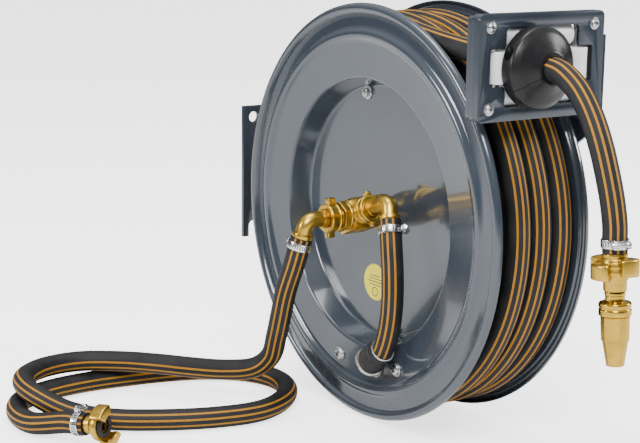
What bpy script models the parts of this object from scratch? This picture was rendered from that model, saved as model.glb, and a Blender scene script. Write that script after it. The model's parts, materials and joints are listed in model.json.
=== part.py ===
"""A wall-mounted, spring-rewind hose reel, built piece by piece.

Frame: metres, +Z up. The origin is on the back face of the wall plate, level with the drum's axle.
+Y points into the wall, -Y to the person who pulls the hose, and +X along the axle to the arm side.
"""

import math

import bmesh
import bpy
from mathutils import Matrix, Vector

# Driving dimensions, in metres
WALL_TO_AXLE = 0.330
FLANGE_RADIUS = 0.260
FLANGE_EDGE = 0.0710
SHEET = 0.002
CORE_RADIUS = 0.1728
PACK_RADIUS = 0.250
PACK_STEP_RADIUS = 0.223
PACK_HALF_WIDTH = 0.0615
HOSE_RADIUS = 0.0135
GAP = 0.0003

GUIDE_HEIGHT = 0.203
GUIDE_FRONT = -0.573
GUIDE_HALF_WIDTH = 0.0925
GUIDE_HALF_HEIGHT = 0.0590
ROLLER_RADIUS = 0.0135
ROLLER_PIN_RADIUS = 0.003
UPRIGHT_ROLLER_Y = -0.5635
LEVEL_ROLLER_Y = -0.5565

ARM_INNER = 0.0865
ARM_THICKNESS = 0.006
SWIVEL_TILT = math.radians(22.8)
NOTCHES = 12
PAWL_REACH = 0.085

AXLE = Vector((0, -WALL_TO_AXLE, 0))
STOPPER = Vector((-0.020, -0.5776, GUIDE_HEIGHT))
OUTLET_FACE = AXLE + Vector((-0.020, -0.3886, 0.0045))
HANG = Vector((0, -0.074, -1)).normalized()

DARK_STEEL = ("dark_steel", (0.075, 0.092, 0.112), 0.32, 0.6)
BARE_STEEL = ("bare_steel", (0.56, 0.57, 0.58), 0.35, 1.0)
BRASS = ("brass", (0.78, 0.56, 0.20), 0.32, 1.0)
RUBBER = ("rubber", (0.022, 0.022, 0.024), 0.55, 0.0)
BLACK_PLASTIC = ("black_plastic", (0.018, 0.018, 0.020), 0.42, 0.0)
WHITE_PLASTIC = ("white_plastic", (0.78, 0.79, 0.80), 0.45, 0.0)
BRONZE = ("bronze", (0.50, 0.30, 0.13), 0.45, 1.0)


# Making and placing pieces

def clear_scene():
    for thing in list(bpy.data.objects):
        bpy.data.objects.remove(thing, do_unlink=True)


def make_collection(name):
    collection = bpy.data.collections.new(name)
    bpy.context.scene.collection.children.link(collection)
    return collection


def make_material(owner, finish):
    kind, colour, roughness, metallic = finish
    material = bpy.data.materials.new(owner + "_" + kind)
    material.use_nodes = True
    shader = material.node_tree.nodes["Principled BSDF"]
    shader.inputs["Base Color"].default_value = (*colour, 1)
    shader.inputs["Roughness"].default_value = roughness
    shader.inputs["Metallic"].default_value = metallic
    return material


def add_piece(name, data, finish=None, parent=None):
    """A new object; with a finish it is a piece of the reel, without one it is a cutter."""
    piece = bpy.data.objects.new(name, data)
    if finish is None:
        CUTTERS.objects.link(piece)
        piece.hide_render = True
        piece.display_type = "WIRE"
    else:
        REEL.objects.link(piece)
        data.materials.append(make_material(name, finish))
    piece.parent = parent
    return piece


def place(piece, location, along=None):
    """Puts the piece's own origin at a world location; its own Z can be turned to a direction."""
    start = piece.parent.location if piece.parent else Vector()
    piece.location = Vector(location) - start
    if along:
        piece.rotation_mode = "QUATERNION"
        piece.rotation_quaternion = Vector(along).to_track_quat("Z", "Y")
    return piece


def add_axis(name, location):
    """An empty on a joint's axis, which the moving pieces hang from."""
    empty = bpy.data.objects.new(name, None)
    REEL.objects.link(empty)
    empty.location = location
    return empty


def shade(mesh):
    mesh.shade_smooth()
    mesh.set_sharp_from_angle(angle=math.radians(35))


# Shapes

def arc(centre, radius, start, end, count):
    """Points on a circle, from one angle to another, in degrees."""
    angles = [math.radians(start + (end - start) * i / (count - 1)) for i in range(count)]
    return [(centre[0] + radius * math.cos(a), centre[1] + radius * math.sin(a)) for a in angles]


def rounded_rectangle(half_width, half_height, corner):
    x, y = half_width - corner, half_height - corner
    return (arc((x, y), corner, 0, 90, 5) + arc((-x, y), corner, 90, 180, 5)
            + arc((-x, -y), corner, 180, 270, 5) + arc((x, -y), corner, 270, 360, 5))


def cross_outline(wide, low, narrow, high):
    """A plus sign: one bar wide and low, the other narrow and high, as half sizes."""
    quarter = [(wide, low), (narrow, low), (narrow, high)]
    left = [(-x, y) for x, y in reversed(quarter)]
    top = quarter + left
    return top + [(-x, -y) for x, y in top]


def sheet_profile(line, thickness):
    """A closed profile: the line, and the same line moved inwards by the sheet's thickness."""
    moved = []
    for i, point in enumerate(line):
        before, after = Vector(line[max(i - 1, 0)]), Vector(line[min(i + 1, len(line) - 1)])
        run = (after - before).normalized()
        moved.append((point[0] + run.y * thickness, point[1] - run.x * thickness))
    return line + moved[::-1]


def turned(name, profile, finish=None, parent=None, steps=32, ring=False):
    """A profile of (radius, height) points turned about Z. A ring's profile closes on itself."""
    loop = zip(profile, profile[1:] + profile[:1])
    area = sum(a[0] * b[1] - b[0] * a[1] for a, b in loop)
    points = profile if area < 0 else profile[::-1]
    mesh = bpy.data.meshes.new(name)
    edges = [(i, i + 1) for i in range(len(points) - 1)]
    if ring:
        edges.append((len(points) - 1, 0))
    mesh.from_pydata([(r, 0, h) for r, h in points], edges, [])
    piece = add_piece(name, mesh, finish, parent)
    screw = piece.modifiers.new("turn", "SCREW")
    screw.steps = screw.render_steps = steps
    screw.use_merge_vertices = True
    screw.merge_threshold = 0.00001
    screw.use_smooth_shade = True
    return piece


def cylinder(name, radius, length, finish=None, parent=None, sides=20, top_radius=None):
    """A cylinder, a cone or a prism about Z, from height 0 up to its length."""
    mesh = bpy.data.meshes.new(name)
    shape = bmesh.new()
    bmesh.ops.create_cone(
        shape, cap_ends=True, segments=sides, radius1=radius,
        radius2=radius if top_radius is None else top_radius, depth=length,
        matrix=Matrix.Translation((0, 0, length / 2)))
    shape.to_mesh(mesh)
    shape.free()
    if sides > 8:
        shade(mesh)
    return add_piece(name, mesh, finish, parent)


def block(name, size, finish=None, parent=None):
    """A box about its own centre."""
    mesh = bpy.data.meshes.new(name)
    shape = bmesh.new()
    bmesh.ops.create_cube(shape, size=1, matrix=Matrix.Diagonal((*size, 1)))
    shape.to_mesh(mesh)
    shape.free()
    return add_piece(name, mesh, finish, parent)


def flat_outline(name, outlines, thickness, finish=None, parent=None):
    """Flat stock about its own XY plane: the first outline is the edge, the rest are holes."""
    curve = bpy.data.curves.new(name, "CURVE")
    curve.dimensions = "2D"
    curve.fill_mode = "BOTH"
    curve.extrude = thickness / 2
    for outline in outlines:
        spline = curve.splines.new("POLY")
        spline.points.add(len(outline) - 1)
        for point, (x, y) in zip(spline.points, outline):
            point.co = (x, y, 0, 1)
        spline.use_cyclic_u = True
    return add_piece(name, curve, finish, parent)


def tube(name, points, radius, finish=None, parent=None, fineness=2):
    """A solid rod along points given about the piece's own origin."""
    curve = bpy.data.curves.new(name, "CURVE")
    curve.dimensions = "3D"
    curve.bevel_depth = radius
    curve.bevel_resolution = fineness
    curve.use_fill_caps = True
    spline = curve.splines.new("POLY")
    spline.points.add(len(points) - 1)
    for point, place_on_route in zip(spline.points, points):
        point.co = (*place_on_route, 1)
    return add_piece(name, curve, finish, parent)


def smooth_route(stations, per_span):
    """A smooth curve through a route's own points, read at equal steps between them."""
    stations = [Vector(s) for s in stations]
    padded = [2 * stations[0] - stations[1], *stations, 2 * stations[-1] - stations[-2]]
    route = []
    for a, b, c, d in zip(padded, padded[1:], padded[2:], padded[3:]):
        for i in range(per_span):
            t = i / per_span
            route.append(0.5 * (2 * b + (c - a) * t + (2 * a - 5 * b + 4 * c - d) * t ** 2
                                + (3 * b - a - 3 * c + d) * t ** 3))
    return route + [stations[-1]]


def on_route(route, distance):
    """The point at a distance from the route's start, and the direction the route has there."""
    for a, b in zip(route, route[1:]):
        length = (b - a).length
        if distance <= length:
            break
        distance -= length
    return a + (b - a) * distance / length, (b - a).normalized()


def to_mesh(piece):
    """Turns a curve piece into a welded mesh piece in the same place."""
    bpy.context.view_layer.update()
    graph = bpy.context.evaluated_depsgraph_get()
    mesh = bpy.data.meshes.new_from_object(piece.evaluated_get(graph))
    shape = bmesh.new()
    shape.from_mesh(mesh)
    bmesh.ops.remove_doubles(shape, verts=shape.verts, dist=0.00001)
    bmesh.ops.recalc_face_normals(shape, faces=shape.faces)
    shape.to_mesh(mesh)
    shape.free()
    shade(mesh)
    name, home, parent = piece.name, piece.users_collection[0], piece.parent
    world = piece.matrix_world.copy()
    bpy.data.objects.remove(piece)
    solid = bpy.data.objects.new(name, mesh)
    home.objects.link(solid)
    solid.hide_render = home == CUTTERS
    solid.display_type = "WIRE" if home == CUTTERS else "TEXTURED"
    solid.parent = parent
    solid.matrix_world = world
    return solid


def combine(piece, tools, operation="DIFFERENCE"):
    """Cuts tools from the piece, or joins them to it."""
    for tool in tools:
        change = piece.modifiers.new(operation.lower(), "BOOLEAN")
        change.operation = operation
        change.object = tool
    return piece


def across_y(piece, location):
    """Stands flat stock up in a plane facing along Y: its own X stays X, its own Y is up."""
    place(piece, location)
    piece.rotation_mode = "XYZ"
    piece.rotation_euler = (math.radians(90), 0, 0)
    return piece


def across_x(piece, location):
    """Stands flat stock up in a plane facing along X: its own X is Y, its own Y is up."""
    place(piece, location)
    piece.rotation_mode = "XYZ"
    piece.rotation_euler = (math.radians(90), 0, math.radians(90))
    return piece


def hole(name, location, along, radius, length, sides=20):
    cutter = cylinder(name, radius, length, sides=sides)
    return place(cutter, Vector(location) - Vector(along).normalized() * length / 2, along)


# The wall bracket

def make_wall_plate():
    """A flat plate with two round bolt holes at the top and two open slots at the bottom."""
    left, right, bottom, top = -0.041, 0.098, -0.093, 0.096
    bolt_radius, bolt_lines, slot_top = 0.0075, (-0.024, 0.081), -0.0775
    edge = [(left, top), (left, bottom)]
    for x in bolt_lines:
        edge.append((x - bolt_radius, bottom))
        edge += arc((x, slot_top), bolt_radius, 180, 0, 7)
        edge.append((x + bolt_radius, bottom))
    edge += [(right, bottom), (right, top)]
    holes = [arc((x, 0.080), bolt_radius, 0, 337.5, 16) for x in bolt_lines]
    plate = flat_outline("wall_plate", [edge, *holes], 0.006, DARK_STEEL)
    return across_y(plate, (0, -0.003, 0))


def make_support_arm():
    """The single arm: a web out to the axle, and a foot bolted to the wall plate."""
    foot_front = -0.0063
    web_edge = ([(foot_front - 0.002, 0.062), (foot_front - 0.030, 0.062)]
                + arc(AXLE.yz, 0.045, 97, 263, 13)
                + [(foot_front - 0.030, -0.060), (foot_front - 0.002, -0.060)])
    axle_hole = arc(AXLE.yz, 0.0096, 0, 337.5, 16)
    web = flat_outline("support_arm", [web_edge, axle_hole], ARM_THICKNESS, DARK_STEEL)
    web = to_mesh(across_x(web, (ARM_INNER + ARM_THICKNESS / 2, 0, 0)))
    foot = place(block("arm_foot", (0.0610, 0.006, 0.130)), (0.0605, foot_front - 0.003, 0.001))
    return combine(web, [foot], "UNION")


def make_shaft():
    """The fixed axle: a thread through both arms, a flange, the spring's arbor and the journal."""
    flange_back = ARM_INNER - GAP
    profile = [(0, 0.112), (0.0090, 0.112), (0.0090, flange_back), (0.034, flange_back),
               (0.034, 0.0785), (0.016, 0.0785), (0.016, 0.0380), (0.010, 0.0380),
               (0.010, -0.0358), (0, -0.0358)]
    place(turned("main_shaft", profile, BARE_STEEL, steps=20), AXLE, (1, 0, 0))
    nut = cylinder("shaft_nut", 0.0155, 0.0105, BARE_STEEL, sides=6)
    place(nut, AXLE + Vector((0.0981, 0, 0)), (1, 0, 0))
    combine(nut, [hole("nut_bore", AXLE + Vector((0.103, 0, 0)), (1, 0, 0), 0.0094, 0.03, 16)])
    ring = [(0.0130, -0.0342), (0.0130, -0.0354), (0.0103, -0.0354), (0.0103, -0.0342)]
    place(turned("retaining_ring", ring, BARE_STEEL, steps=20, ring=True), AXLE, (1, 0, 0))


# The hose guide

def make_guide_arm():
    """A flat arm clamped under the shaft nut, reaching up and out to the roller guide."""
    front, back = GUIDE_FRONT + 0.0015, -0.532
    edge = ([(front, 0.234), (back, 0.234)] + arc(AXLE.yz, 0.032, 50, -130, 11)
            + [(front, 0.128)])
    axle_hole = arc(AXLE.yz, 0.0096, 0, 337.5, 16)
    arm = flat_outline("guide_arm", [edge, axle_hole], 0.005, DARK_STEEL)
    return across_x(arm, (0.0953, 0, 0))


def screw_places():
    return [(x, GUIDE_HEIGHT + z) for x in (-0.0765, 0.0765) for z in (-0.0443, 0.0443)]


def make_guide_box():
    """The frame behind the cover, with a solid corner for each screw and bores for the pins."""
    depth = 0.0212
    outer = rounded_rectangle(0.0900, 0.0565, 0.004)
    inner = cross_outline(0.0870, 0.0365, 0.0660, 0.0535)
    box = flat_outline("guide_box", [outer, inner], depth, DARK_STEEL)
    box = to_mesh(across_y(box, (0, GUIDE_FRONT + 0.0023 + depth / 2, GUIDE_HEIGHT)))
    bore = ROLLER_PIN_RADIUS + 0.0005
    cuts = []
    for side in (-1, 1):
        upright = (side * 0.058, UPRIGHT_ROLLER_Y, GUIDE_HEIGHT)
        level = (0, LEVEL_ROLLER_Y, GUIDE_HEIGHT + side * 0.0325)
        cuts.append(hole(f"upright_bore{side}", upright, (0, 0, 1), bore, 0.14, 10))
        cuts.append(hole(f"level_bore{side}", level, (1, 0, 0), bore, 0.20, 10))
    for i, (x, z) in enumerate(screw_places()):
        cuts.append(hole(f"box_screw_bore{i}", (x, -0.560, z), (0, 1, 0), 0.0028, 0.06, 8))
    return combine(box, cuts)


def make_guide_plate():
    """The pressed cover: a plate with a cross-shaped window and a returned edge all round."""
    outer = rounded_rectangle(GUIDE_HALF_WIDTH, GUIDE_HALF_HEIGHT, 0.007)
    window = cross_outline(0.0760, 0.0205, 0.0540, 0.0440)
    face = flat_outline("guide_plate", [outer, window], SHEET, DARK_STEEL)
    face = to_mesh(across_y(face, (0, GUIDE_FRONT + SHEET / 2, GUIDE_HEIGHT)))
    inner = rounded_rectangle(GUIDE_HALF_WIDTH - SHEET, GUIDE_HALF_HEIGHT - SHEET, 0.005)
    rim = flat_outline("plate_rim", [outer, inner], 0.0128)
    rim = to_mesh(across_y(rim, (0, GUIDE_FRONT + 0.0002 + 0.0064, GUIDE_HEIGHT)))
    combine(face, [rim], "UNION")
    cuts = [hole(f"plate_screw_bore{i}", (x, GUIDE_FRONT, z), (0, 1, 0), 0.0028, 0.01, 8)
            for i, (x, z) in enumerate(screw_places())]
    return combine(face, cuts)


def make_guide_screws():
    profile = [(0, 0.0038), (0.0030, 0.0036), (0.0050, 0.0020), (0.0055, 0), (0.0024, 0),
               (0.0024, -0.016), (0, -0.016)]
    for i, (x, z) in enumerate(screw_places()):
        screw = turned(f"guide_screw_{i + 1}", profile, BARE_STEEL, steps=10)
        place(screw, (x, GUIDE_FRONT - GAP, z), (0, -1, 0))


def make_roller(name, middle, along, half_length, half_pin):
    """A plastic roller on an axis of its own, and the fixed pin it turns on."""
    axis = add_axis(name + "_axis", middle)
    chamfer = 0.0015
    bore = ROLLER_PIN_RADIUS + 0.0004
    profile = [(bore, half_length), (ROLLER_RADIUS - chamfer, half_length),
               (ROLLER_RADIUS, half_length - chamfer), (ROLLER_RADIUS, chamfer - half_length),
               (ROLLER_RADIUS - chamfer, -half_length), (bore, -half_length)]
    place(turned(name, profile, WHITE_PLASTIC, axis, 16, True), middle, along)
    pin = cylinder(name + "_pin", ROLLER_PIN_RADIUS, 2 * half_pin, BARE_STEEL, sides=12)
    place(pin, Vector(middle) - Vector(along) * half_pin, along)


def make_rollers():
    for side, word in ((-1, "left"), (1, "right")):
        middle = (side * 0.058, UPRIGHT_ROLLER_Y, GUIDE_HEIGHT)
        make_roller(word + "_roller", middle, (0, 0, 1), 0.018, 0.0562)
    for side, word in ((-1, "lower"), (1, "upper")):
        middle = (0, LEVEL_ROLLER_Y, GUIDE_HEIGHT + side * 0.0325)
        make_roller(word + "_roller", middle, (1, 0, 0), 0.050, 0.0897)


# The drum

def flange_line():
    """Radius and distance from the middle, over a flange's outer face, from its hole to its rim."""
    return [(0.0138, 0.0360), (0.1585, 0.0360), (0.1630, 0.0400), (0.1675, 0.0630),
            (0.1705, 0.0655), (0.2110, 0.0655), (0.2165, 0.0697), (0.2275, 0.0697),
            (0.2330, 0.0655), (0.2475, 0.0655), (0.2520, 0.0704), (0.2565, FLANGE_EDGE),
            (FLANGE_RADIUS, 0.0675), (FLANGE_RADIUS, 0.0630)]


def on_land(angle, radius, outward):
    """A point on the front flange's flat land; the angle runs from the wall's side, upwards."""
    turn = math.radians(angle)
    return AXLE + Vector((-outward, radius * math.cos(turn), radius * math.sin(turn)))


ENTRY = on_land(-100.2, 0.1906, 0.0655)
ENTRY_BOLTS = [on_land(angle, 0.197, 0.0655) for angle in (-77.1, -112.5)]


def make_flanges(drum):
    """Two pressed discs, each with a rolled rim, a stiffening rib and a deep recess."""
    profile = sheet_profile(flange_line(), SHEET)
    rear = turned("rear_flange", profile, DARK_STEEL, drum, 44, True)
    place(rear, AXLE, (1, 0, 0))
    front = turned("front_flange", profile, DARK_STEEL, drum, 44, True)
    place(front, AXLE, (-1, 0, 0))
    cuts = [hole("entry_bore", ENTRY, (1, 0, 0), 0.0104, 0.012, 16)]
    for i, bolt in enumerate(ENTRY_BOLTS):
        cuts.append(hole(f"entry_bolt_bore{i}", bolt, (1, 0, 0), 0.0034, 0.012, 8))
    combine(front, cuts)


def make_core(drum):
    """The rolled core between the flanges, and the hub tube that carries the two bushes."""
    wide, half = 0.0632, 0.0337
    core = [(CORE_RADIUS, wide), (CORE_RADIUS, -wide), (CORE_RADIUS - SHEET, -wide),
            (CORE_RADIUS - SHEET, wide)]
    place(turned("drum_core", core, DARK_STEEL, drum, 44, True), AXLE, (1, 0, 0))
    hub = [(0.018, half), (0.018, -half), (0.014, -half), (0.014, half)]
    place(turned("hub_tube", hub, BARE_STEEL, drum, 20, True), AXLE, (1, 0, 0))
    bush = [(0.0137, 0.0180), (0.0137, 0), (0.0103, 0), (0.0103, 0.0180)]
    for name, start in (("front_bush", -0.0335), ("rear_bush", 0.0155)):
        ring = turned(name, bush, BRONZE, drum, 20, True)
        place(ring, AXLE + Vector((start, 0, 0)), (1, 0, 0))


def make_pack(drum):
    """The wound hose as one ring, with a channel at the front where the last turn has left."""
    inner, channel = CORE_RADIUS + GAP, -0.0330
    profile = [(PACK_RADIUS, PACK_HALF_WIDTH), (PACK_RADIUS, channel), (PACK_STEP_RADIUS, channel),
               (PACK_STEP_RADIUS, -PACK_HALF_WIDTH), (inner, -PACK_HALF_WIDTH),
               (inner, PACK_HALF_WIDTH)]
    place(turned("hose_pack", profile, RUBBER, drum, 44, True), AXLE, (1, 0, 0))


def make_spring_motor(drum):
    """The spring case in the rear recess, its cover, and the flat spiral spring inside."""
    bore, outer, wall = 0.0175, 0.138, 0.002
    base, mouth = 0.0363, 0.0655
    case = [(outer, mouth), (outer, base), (bore, base), (bore, base + wall),
            (outer - wall, base + wall), (outer - wall, mouth)]
    place(turned("spring_case", case, BARE_STEEL, drum, 32, True), AXLE, (1, 0, 0))
    lid = mouth + GAP
    cover = [(outer, lid + wall), (outer, lid), (bore, lid), (bore, lid + wall)]
    place(turned("spring_cover", cover, DARK_STEEL, drum, 32, True), AXLE, (1, 0, 0))
    turns, per_turn, strip = 6, 14, 0.0016
    inner_start, pitch = 0.0190, 0.0183
    side_a, side_b = [], []
    for i in range(turns * per_turn + 1):
        turn = 2 * math.pi * i / per_turn
        radius = inner_start + pitch * i / per_turn
        direction = Vector((math.cos(turn), math.sin(turn)))
        side_a.append(tuple(direction * radius))
        side_b.append(tuple(direction * (radius + strip)))
    spring = flat_outline("spiral_spring", [side_a + side_b[::-1]], 0.020, BARE_STEEL, drum)
    across_x(spring, AXLE + Vector((0.0515, 0, 0)))


# The ratchet that holds the hose where it is let go

def make_ratchet(drum):
    """A wheel with narrow teeth on the spring's cover, a sprung pawl and the pawl's pin."""
    root, tip, start = 0.053, 0.060, 0.0681
    edge = []
    for i in range(NOTCHES):
        middle = 360 / NOTCHES * (i + 0.5) + 20
        edge += arc((0, 0), root, middle - 27.4, middle - 2.6, 3)
        edge += arc((0, 0), tip, middle - 1.5, middle + 1.5, 2)
    wheel = flat_outline("ratchet_wheel", [edge, arc((0, 0), 0.030, 0, 337.5, 16)], 0.004,
                         BARE_STEEL, drum)
    across_x(wheel, AXLE + Vector((start + 0.002, 0, 0)))
    turn = math.radians(20)
    pivot = AXLE + Vector((0, PAWL_REACH * math.cos(turn), PAWL_REACH * math.sin(turn)))
    axis = add_axis("pawl_axis", pivot)
    length = PAWL_REACH - 0.0565
    edge = arc((0, 0), 0.0090, 205, 515, 11) + [(-length + 0.004, 0.0035), (-length, 0.0012),
                                               (-length, -0.0012), (-length + 0.004, -0.0035)]
    outline = [(x * math.cos(turn) - y * math.sin(turn), x * math.sin(turn) + y * math.cos(turn))
               for x, y in edge]
    pawl = flat_outline("pawl", [outline, arc((0, 0), 0.0043, 0, 330, 12)], 0.0026,
                        BARE_STEEL, axis)
    across_x(pawl, pivot + Vector((start + 0.0026, 0, 0)))
    pin = [(0, 0), (0.0040, 0), (0.0040, -0.0171), (0.0060, -0.0171), (0.0060, -0.0181),
           (0, -0.0181)]
    pin = turned("pawl_pin", pin, BARE_STEEL, steps=12)
    place(pin, pivot + Vector((ARM_INNER - GAP, 0, 0)), (1, 0, 0))
    coil = [Vector((0.0058 * math.cos(i * math.pi / 4.5), 0.0058 * math.sin(i * math.pi / 4.5),
                    0.0732 + 0.0112 * i / 27)) for i in range(28)]
    place(tube("pawl_spring", coil, 0.0008, BARE_STEEL, fineness=1), pivot, (1, 0, 0))


# The swivel at the front of the axle, and the short hose that turns with the drum

OUTLET_AXIS = Vector((0, -math.cos(SWIVEL_TILT), math.sin(SWIVEL_TILT)))
OUTLET_MIDDLE = AXLE + Vector((-0.075, 0, 0))
OUTLET_CORNER = OUTLET_MIDDLE + OUTLET_AXIS * 0.0714
LINK_DIRECTION = Vector((-0.203, -0.379, -0.903)).normalized()
LINK_START = OUTLET_CORNER + LINK_DIRECTION * 0.0240
ENTRY_RING = AXLE + Vector((-0.086, -0.0493, -0.1748))
ENTRY_AXIS = Vector((0, -0.77, 0.64)).normalized()
INLET_CORNER = AXLE + Vector((-0.1500, 0, 0))
INLET_DIRECTION = Vector((-0.20, 0.16, -0.96)).normalized()
SUPPLY_START = INLET_CORNER + INLET_DIRECTION * 0.0225


def elbow_route(start, corner, end, radius, count=6):
    """Straight in, a round bend of the given radius at the corner, and straight out."""
    start, corner, end = Vector(start), Vector(corner), Vector(end)
    into, out = (corner - start).normalized(), (end - corner).normalized()
    half = into.angle(out) / 2
    back = radius * math.tan(half)
    centre = corner + (out - into).normalized() * radius / math.cos(half)
    first = corner - into * back - centre
    swing = into.cross(out).normalized()
    bend = [centre + Matrix.Rotation(2 * half * i / count, 3, swing) @ first
            for i in range(count + 1)]
    return [start, *bend, end]


def lug_nut(name, radius, length, bore, inner_bore, reach, lug_turn, parent=None):
    """A union nut about Z with a lug at each side, pointing up at the given turn."""
    profile = [(bore, length), (radius - 0.001, length), (radius, length - 0.001),
               (radius, 0.001), (radius - 0.001, 0), (inner_bore, 0), (inner_bore, length * 0.6),
               (bore, length * 0.6)]
    nut = turned(name, profile, BRASS, parent, 20, True)
    lugs = []
    for side in (-1, 1):
        lug = block(f"{name}_lug{side}", (reach - radius + 0.002, 0.0065, length * 0.75))
        lug.parent = nut
        middle = side * (radius - 0.002 + reach) / 2
        lug.location = (middle * math.cos(lug_turn), middle * math.sin(lug_turn), length / 2)
        lug.rotation_euler = (0, 0, lug_turn)
        lugs.append(lug)
    return combine(nut, lugs, "UNION")


def make_inlet():
    """The still side of the swivel: a brass elbow and the lug nut that holds it on."""
    route = elbow_route(AXLE + Vector((-0.1100, 0, 0)), INLET_CORNER,
                        SUPPLY_START - INLET_DIRECTION * GAP, 0.012)
    pipe = to_mesh(tube("inlet_elbow", route, 0.0098, BRASS, fineness=3))
    collar = place(cylinder("elbow_collar", 0.0128, 0.0030, sides=20),
                   AXLE + Vector((-0.1155, 0, 0)), (1, 0, 0))
    combine(pipe, [collar], "UNION")
    nut = lug_nut("inlet_nut", 0.0178, 0.0150, 0.0102, 0.0135, 0.0250, 0)
    place(nut, AXLE + Vector((-0.1076, 0, 0)), (-1, 0, 0))


def make_swivel(drum):
    """The turning side: a hexagon spigot in a cast body, a second nut and the outlet elbow."""
    spigot = place(cylinder("swivel_spigot", 0.0128, 0.0020, BRASS, drum, 20),
                   AXLE + Vector((-0.1092, 0, 0)), (1, 0, 0))
    hexagon = place(cylinder("spigot_hexagon", 0.0175, 0.0125, sides=6),
                    AXLE + Vector((-0.1073, 0, 0)), (1, 0, 0))
    combine(spigot, [hexagon], "UNION")
    barrel = [(0, 0.0582), (0.0170, 0.0582), (0.0190, 0.0560), (0.0190, 0.0120),
              (0.0205, 0.0057), (0.0215, 0.0050), (0.0215, 0), (0, 0)]
    body = turned("swivel_body", barrel, BRASS, drum, 20)
    place(body, AXLE + Vector((-0.0363, 0, 0)), (-1, 0, 0))
    branch = cylinder("swivel_branch", 0.0185, 0.0465, sides=20)
    place(branch, OUTLET_MIDDLE - OUTLET_AXIS * 0.0220, OUTLET_AXIS)
    casting = block("swivel_casting", (0.0360, 0.0410, 0.0360))
    place(casting, OUTLET_MIDDLE - OUTLET_AXIS * 0.0010, OUTLET_AXIS)
    combine(body, [branch, casting], "UNION")
    nut = lug_nut("outlet_nut", 0.0173, 0.0105, 0.0102, 0.0135, 0.0220, math.radians(90), drum)
    place(nut, OUTLET_MIDDLE + OUTLET_AXIS * 0.0248, OUTLET_AXIS)
    route = elbow_route(OUTLET_MIDDLE + OUTLET_AXIS * 0.0265, OUTLET_CORNER,
                        LINK_START - LINK_DIRECTION * GAP, 0.010)
    to_mesh(tube("outlet_elbow", [p - AXLE for p in route], 0.0096, BRASS, drum, 3))


def link_stations():
    """The link hose's own points, from the outlet elbow down to the entry on the flange."""
    middle = [(-0.0870, -0.0905, -0.0450), (-0.0876, -0.0930, -0.0760),
              (-0.0876, -0.0912, -0.1070), (-0.0870, -0.0840, -0.1340)]
    last = ENTRY_RING + ENTRY_AXIS * 0.0006
    return ([LINK_START + LINK_DIRECTION * out for out in (0, 0.018, 0.036)]
            + [AXLE + Vector(p) for p in middle]
            + [last + ENTRY_AXIS * out for out in (0.030, 0.015, 0)])


def make_link(drum):
    """The link hose, the bent pipe that takes it through the flange, and its rubber sleeve."""
    route = smooth_route(link_stations(), 2)
    tube("link_hose", [p - AXLE for p in route], HOSE_RADIUS, RUBBER, drum)
    spot, along = on_route(route, 0.0125)
    make_clamp("link_clamp", spot, along, 20, drum)
    foot = ENTRY + Vector((0.0034, 0, 0))
    corner = Vector((ENTRY_RING.x, ENTRY.y, ENTRY.z))
    pipe = elbow_route(ENTRY_RING, corner, foot, 0.011)
    pipe = to_mesh(tube("entry_elbow", [p - AXLE for p in pipe], 0.0100, BARE_STEEL, drum, 3))
    ring = cylinder("entry_ring", 0.0193, 0.0040, sides=20)
    place(ring, ENTRY_RING - ENTRY_AXIS * 0.0040, ENTRY_AXIS)
    seat = place(cylinder("entry_seat", 0.0150, 0.0030, sides=20),
                 ENTRY - Vector((GAP, 0, 0)), (-1, 0, 0))
    combine(pipe, [ring, seat], "UNION")
    sleeve = [(0.0141, 0.0290), (0.0156, 0.0290), (0.0160, 0.0210), (0.0176, 0.0190),
              (0.0162, 0.0170), (0.0164, 0.0090), (0.0180, 0.0070), (0.0168, 0.0005),
              (0.0141, 0.0005)]
    sleeve = turned("entry_sleeve", sleeve, RUBBER, drum, 20, True)
    place(sleeve, ENTRY_RING, ENTRY_AXIS)
    bolt = [(0, 0.0060), (0.0068, 0.0060), (0.0075, 0.0052), (0.0075, 0.0016), (0.0090, 0.0016),
            (0.0090, 0), (0.0030, 0), (0.0030, -0.0033), (0, -0.0033)]
    for i, spot in enumerate(ENTRY_BOLTS):
        piece = turned(f"entry_bolt_{i + 1}", bolt, BARE_STEEL, drum, 10)
        place(piece, spot - Vector((GAP, 0, 0)), (-1, 0, 0))


def make_clamp(name, middle, along, side, parent=None):
    """A stainless worm clamp: a band round the hose and the housing of its screw."""
    inner, outer, half = HOSE_RADIUS + GAP, 0.0150, 0.0045
    band = [(outer, half), (outer, -half), (inner, -half), (inner, half)]
    clamp = turned(name, band, BARE_STEEL, parent, 20, True)
    place(clamp, middle, along)
    housing = block(name + "_housing", (0.0080, 0.0150, 0.0100))
    housing.parent = clamp
    turn = math.radians(side)
    housing.location = (0.0184 * math.cos(turn), 0.0184 * math.sin(turn), 0)
    housing.rotation_euler = (0, 0, turn)
    return combine(clamp, [housing], "UNION")


# The claw couplings

def make_claw_half(name, face, along, turn, tail_radius, tail_length, tail_bore=0.0065):
    """Half a claw coupling: a disc, two claws that hook behind the other half, and a tail."""
    body = [(tail_bore, 0), (0.0183, 0), (0.0183, 0.0060), (0.0145, 0.0061), (0.0145, 0.0100),
            (tail_radius, 0.0140), (tail_radius, tail_length), (tail_bore, tail_length)]
    half = turned(name, body, BRASS, steps=20, ring=True)
    ring = [(0.0268, 0.0062), (0.0268, -0.0110), (0.0150, -0.0125), (0.0150, -0.0065),
            (0.0188, -0.0065), (0.0188, 0.0001), (0.0170, 0.0012), (0.0165, 0.0062)]
    claws = turned(name + "_claws", ring, steps=20, ring=True)
    claws.parent = half
    sides = block(name + "_claw_sides", (0.0800, 0.0260, 0.0500))
    sides.parent = half
    sides.rotation_euler = (0, 0, turn)
    combine(claws, [sides], "INTERSECT")
    place(half, face, along)
    return combine(half, [claws], "UNION")


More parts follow.
